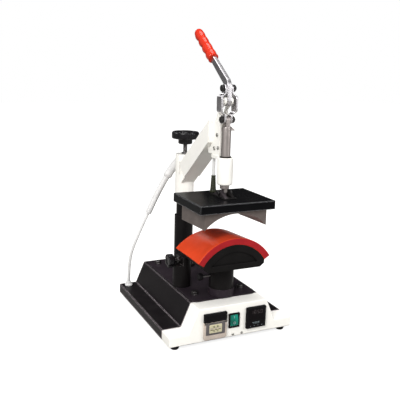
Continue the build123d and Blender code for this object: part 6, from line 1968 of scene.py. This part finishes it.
class Leads(Assembly):
    """Power lead with its sleeve, elbow and gland, and the heater's lead."""

    sizes = LeadSizes()

    @staticmethod
    def spline(points: Sequence[Sequence[float]], resolution: int = 24) -> Array:
        """Points along the smooth spline of a route.

        Args:
            points: Control points.
            resolution: Points per segment.

        Returns:
            Points in millimetres, shape (n, 3).
        """
        curve = bpy.data.curves.new("route", "CURVE")
        curve.dimensions = "3D"
        line = curve.splines.new("NURBS")
        line.points.add(len(points) - 1)
        for control, place in zip(line.points, points):
            control.co = (*(c * METRE_PER_MM for c in place), 1.0)
        line.order_u = 3
        line.use_endpoint_u = True
        curve.resolution_u = resolution
        obj = bpy.data.objects.new("route", curve)
        mesh = bpy.data.meshes.new_from_object(obj)
        flat = np.empty(len(mesh.vertices) * 3)
        mesh.vertices.foreach_get("co", flat)
        bpy.data.objects.remove(obj)
        bpy.data.meshes.remove(mesh)
        bpy.data.curves.remove(curve)
        return flat.reshape(-1, 3) / METRE_PER_MM

    def build(self) -> None:
        """Makes the leads."""
        s = self.sizes
        path = self.spline(s.power)
        lead = self.piece("power_cord", tube(path, np.full(len(path), s.diameter / 2), 20), Look.SHEATH, None, ["power_lead"])
        inner = path[(path[:, 2] > 214) & (path[:, 2] < 320)]
        radii = np.full(len(inner), s.sleeve / 2)
        radii[0], radii[-1] = s.sleeve / 2 - 1.2, s.sleeve / 2 - 0.8
        sleeve = self.piece("cord_sleeve", tube(inner, radii, 28), Look.SHEATH, None, ["lead_sleeve"])
        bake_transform(lead)
        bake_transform(sleeve)
        heater = self.spline(s.heater)
        rod = self.piece("heater_cord", tube(heater, np.full(len(heater), s.diameter / 2), 20), Look.SHEATH, "hot_head", ["heater_lead"])
        self.piece("elbow_boot", self.elbow(path), Look.SHEATH, "arm", ["lead_elbow"])
        gland = soften([(3.6, 26), (6.4, 26), (6.4, 32), (9.5, 32), (9.5, 35.4), (8.2, 36), (7.4, 36.6), (5.2, 43.6), (3.7, 44)], 0.7)
        self.piece("gland_cone", lathe(gland, (-128.5, 153, 0), joined=True, steps=40), Look.SHEATH, "base", ["ledge_gland"])

    @staticmethod
    def elbow(path: Array) -> Solid:
        """Elbow over the lead's last stretch: wide at the arm, narrower at its ringed mouth.

        Args:
            path: Points of the lead.

        Returns:
            Its surface.
        """
        part = path[path[:, 2] > 302]
        share = np.linspace(0, 1, len(part))
        radii = np.interp(share, [0, 0.03, 0.10, 0.13, 0.2, 0.6, 1.0], [7.8, 10.6, 11.0, 10.2, 9.8, 10.8, 11.0])
        return tube(part, radii, 40)


# ============================================================ studio
@dataclass(frozen=True)
class Lamp:
    """One soft lamp.

    Args:
        name: Name.
        place: Position in metres.
        aim: Point it faces, in metres.
        size: Side of its square, in metres.
        watts: Power.
        tint: Linear colour.
    """

    name: str
    place: tuple[float, float, float]
    aim: tuple[float, float, float]
    size: float
    watts: float
    tint: tuple[float, float, float] = (1.0, 1.0, 1.0)


@dataclass(frozen=True)
class Studio:
    """Floor, light and camera."""

    lamps: tuple[Lamp, ...] = (
        Lamp("key", (-1.65, -1.55, 1.65), (0.0, 0.0, 0.28), 1.1, 68.0),
        Lamp("fill", (1.7, -1.6, 1.0), (0.0, 0.0, 0.3), 1.4, 25.0),
        Lamp("top", (0.1, 0.0, 2.3), (0.0, 0.0, 0.2), 1.2, 28.0),
        Lamp("rim", (-0.3, 1.9, 1.7), (0.0, 0.0, 0.2), 0.5, 5.0),
    )
    camera: tuple[float, float, float] = (-0.565, -1.171, 0.566)
    azimuth: float = -25.73
    elevation: float = 12.50
    roll: float = 1.58
    focal_pixels: float = 579.8
    middle: tuple[float, float] = (202.9, 199.1)
    pixels: int = 400

    def build(self) -> None:
        """Makes floor, world, lamps and camera, and sets the renderer."""
        self.floor()
        self.world()
        for lamp in self.lamps:
            self.light(lamp)
        self.shoot()
        scene = bpy.context.scene
        scene.render.engine = "CYCLES"
        scene.cycles.samples = 256
        scene.cycles.use_denoising = True
        scene.render.resolution_x = self.pixels
        scene.render.resolution_y = self.pixels
        scene.view_settings.view_transform = "Standard"

    @staticmethod
    def floor() -> None:
        """Makes the pale floor, which fades to plain white away from the press."""
        mesh = bpy.data.meshes.new("floor")
        mesh.from_pydata([(-8, -8, -0.0002), (8, -8, -0.0002), (8, 8, -0.0002), (-8, 8, -0.0002)], [], [(0, 1, 2, 3)])
        material = bpy.data.materials.new("pale_floor")
        material.use_nodes = True
        material.node_tree.nodes.clear()
        build = Nodes(material.node_tree)
        place = build.add("TexCoord")
        distance = build.add("VectorMath", {0: place.outputs["Object"]}, operation="LENGTH")
        fade = build.scale(distance.outputs["Value"], 0.25, 0.9, 0.84, 1.0)
        ray = build.add("LightPath")
        seen = build.maths("MAXIMUM", ray.outputs["Is Camera Ray"], ray.outputs["Is Transmission Ray"])
        seen = build.maths("MAXIMUM", seen, build.maths("MULTIPLY", ray.outputs["Is Glossy Ray"], 0.15))
        surface = build.add(
            "BsdfPrincipled",
            {"Base Color": rgba((0.34, 0.33, 0.31)), "Roughness": 0.8, "Specular IOR Level": 0.0,
             "Emission Color": rgba((1.0, 1.0, 1.0)), "Emission Strength": build.maths("MULTIPLY", fade, seen)},
        )
        build.add("OutputMaterial", {0: surface.outputs[0]})
        mesh.materials.append(material)
        obj = bpy.data.objects.new("floor", mesh)
        bpy.context.scene.collection.objects.link(obj)

    @staticmethod
    def world() -> None:
        """Makes a white surround that lights gently and shows in gloss as a lit wall on the left, dark behind."""
        world = bpy.data.worlds.new("surround")
        world.use_nodes = True
        world.node_tree.nodes.clear()
        build = Nodes(world.node_tree)
        ray = build.add("LightPath")
        place = build.add("TexCoord")
        facing = build.add("VectorMath", {0: place.outputs["Generated"], 1: (-0.75, -0.60, 0.10)}, operation="DOT_PRODUCT")
        wall = build.scale(facing.outputs["Value"], -0.25, 0.6, 0.03, 1.0)
        seen = build.maths("MAXIMUM", ray.outputs["Is Camera Ray"], ray.outputs["Is Transmission Ray"])
        white = build.add("Background", {"Color": rgba((1.0, 1.0, 1.0)), "Strength": 1.0})
        soft = build.add("Background", {"Color": rgba((0.96, 0.98, 1.0)), "Strength": 0.45})
        studio = build.add("Background", {"Color": rgba((1.0, 1.0, 1.0)), "Strength": wall})
        gloss = build.add("MixShader", {0: ray.outputs["Is Glossy Ray"], 1: soft.outputs[0], 2: studio.outputs[0]})
        mixed = build.add("MixShader", {0: seen, 1: gloss.outputs[0], 2: white.outputs[0]})
        build.add("OutputWorld", {0: mixed.outputs[0]})
        bpy.context.scene.world = world

    @staticmethod
    def light(lamp: Lamp) -> None:
        """Makes one area lamp.

        Args:
            lamp: The lamp.
        """
        data = bpy.data.lights.new(lamp.name, "AREA")
        data.energy = lamp.watts
        data.size = lamp.size
        data.color = lamp.tint
        obj = bpy.data.objects.new(lamp.name, data)
        obj.location = lamp.place
        away = Vector(lamp.place) - Vector(lamp.aim)
        obj.rotation_euler = away.to_track_quat("Z", "Y").to_euler()
        bpy.context.scene.collection.objects.link(obj)

    def shoot(self) -> None:
        """Places the camera at the photograph's viewpoint."""
        a, e, r = (math.radians(v) for v in (self.azimuth, self.elevation, self.roll))
        back = Vector((math.sin(a) * math.cos(e), -math.cos(a) * math.cos(e), math.sin(e)))
        right = Vector((math.cos(a), math.sin(a), 0.0))
        up = back.cross(right)
        turned_right = math.cos(r) * right + math.sin(r) * up
        turned_up = -math.sin(r) * right + math.cos(r) * up
        data = bpy.data.cameras.new("camera")
        data.sensor_width = 36.0
        data.lens = self.focal_pixels / self.pixels * 36.0
        data.shift_x = (self.pixels / 2 - self.middle[0]) / self.pixels
        data.shift_y = (self.middle[1] - self.pixels / 2) / self.pixels
        obj = bpy.data.objects.new("camera", data)
        turn = Matrix((turned_right, turned_up, back)).transposed().to_4x4()
        obj.matrix_world = Matrix.Translation(self.camera) @ turn
        bpy.context.scene.collection.objects.link(obj)
        bpy.context.scene.camera = obj


def main() -> None:
    """Builds the scene in order."""
    logging.basicConfig(level=logging.INFO, format="%(message)s")
    LOG.info("studio")
    Studio().build()
    palette = Palette()
    for kind in (Leads, Housing, Instruments, Column, ArmAndHead, Toggle, ArchedForms, SidePost, HotHead):
        LOG.info("building %s", kind.__name__)
        kind(palette).build()


if __name__ == "__main__":
    main()
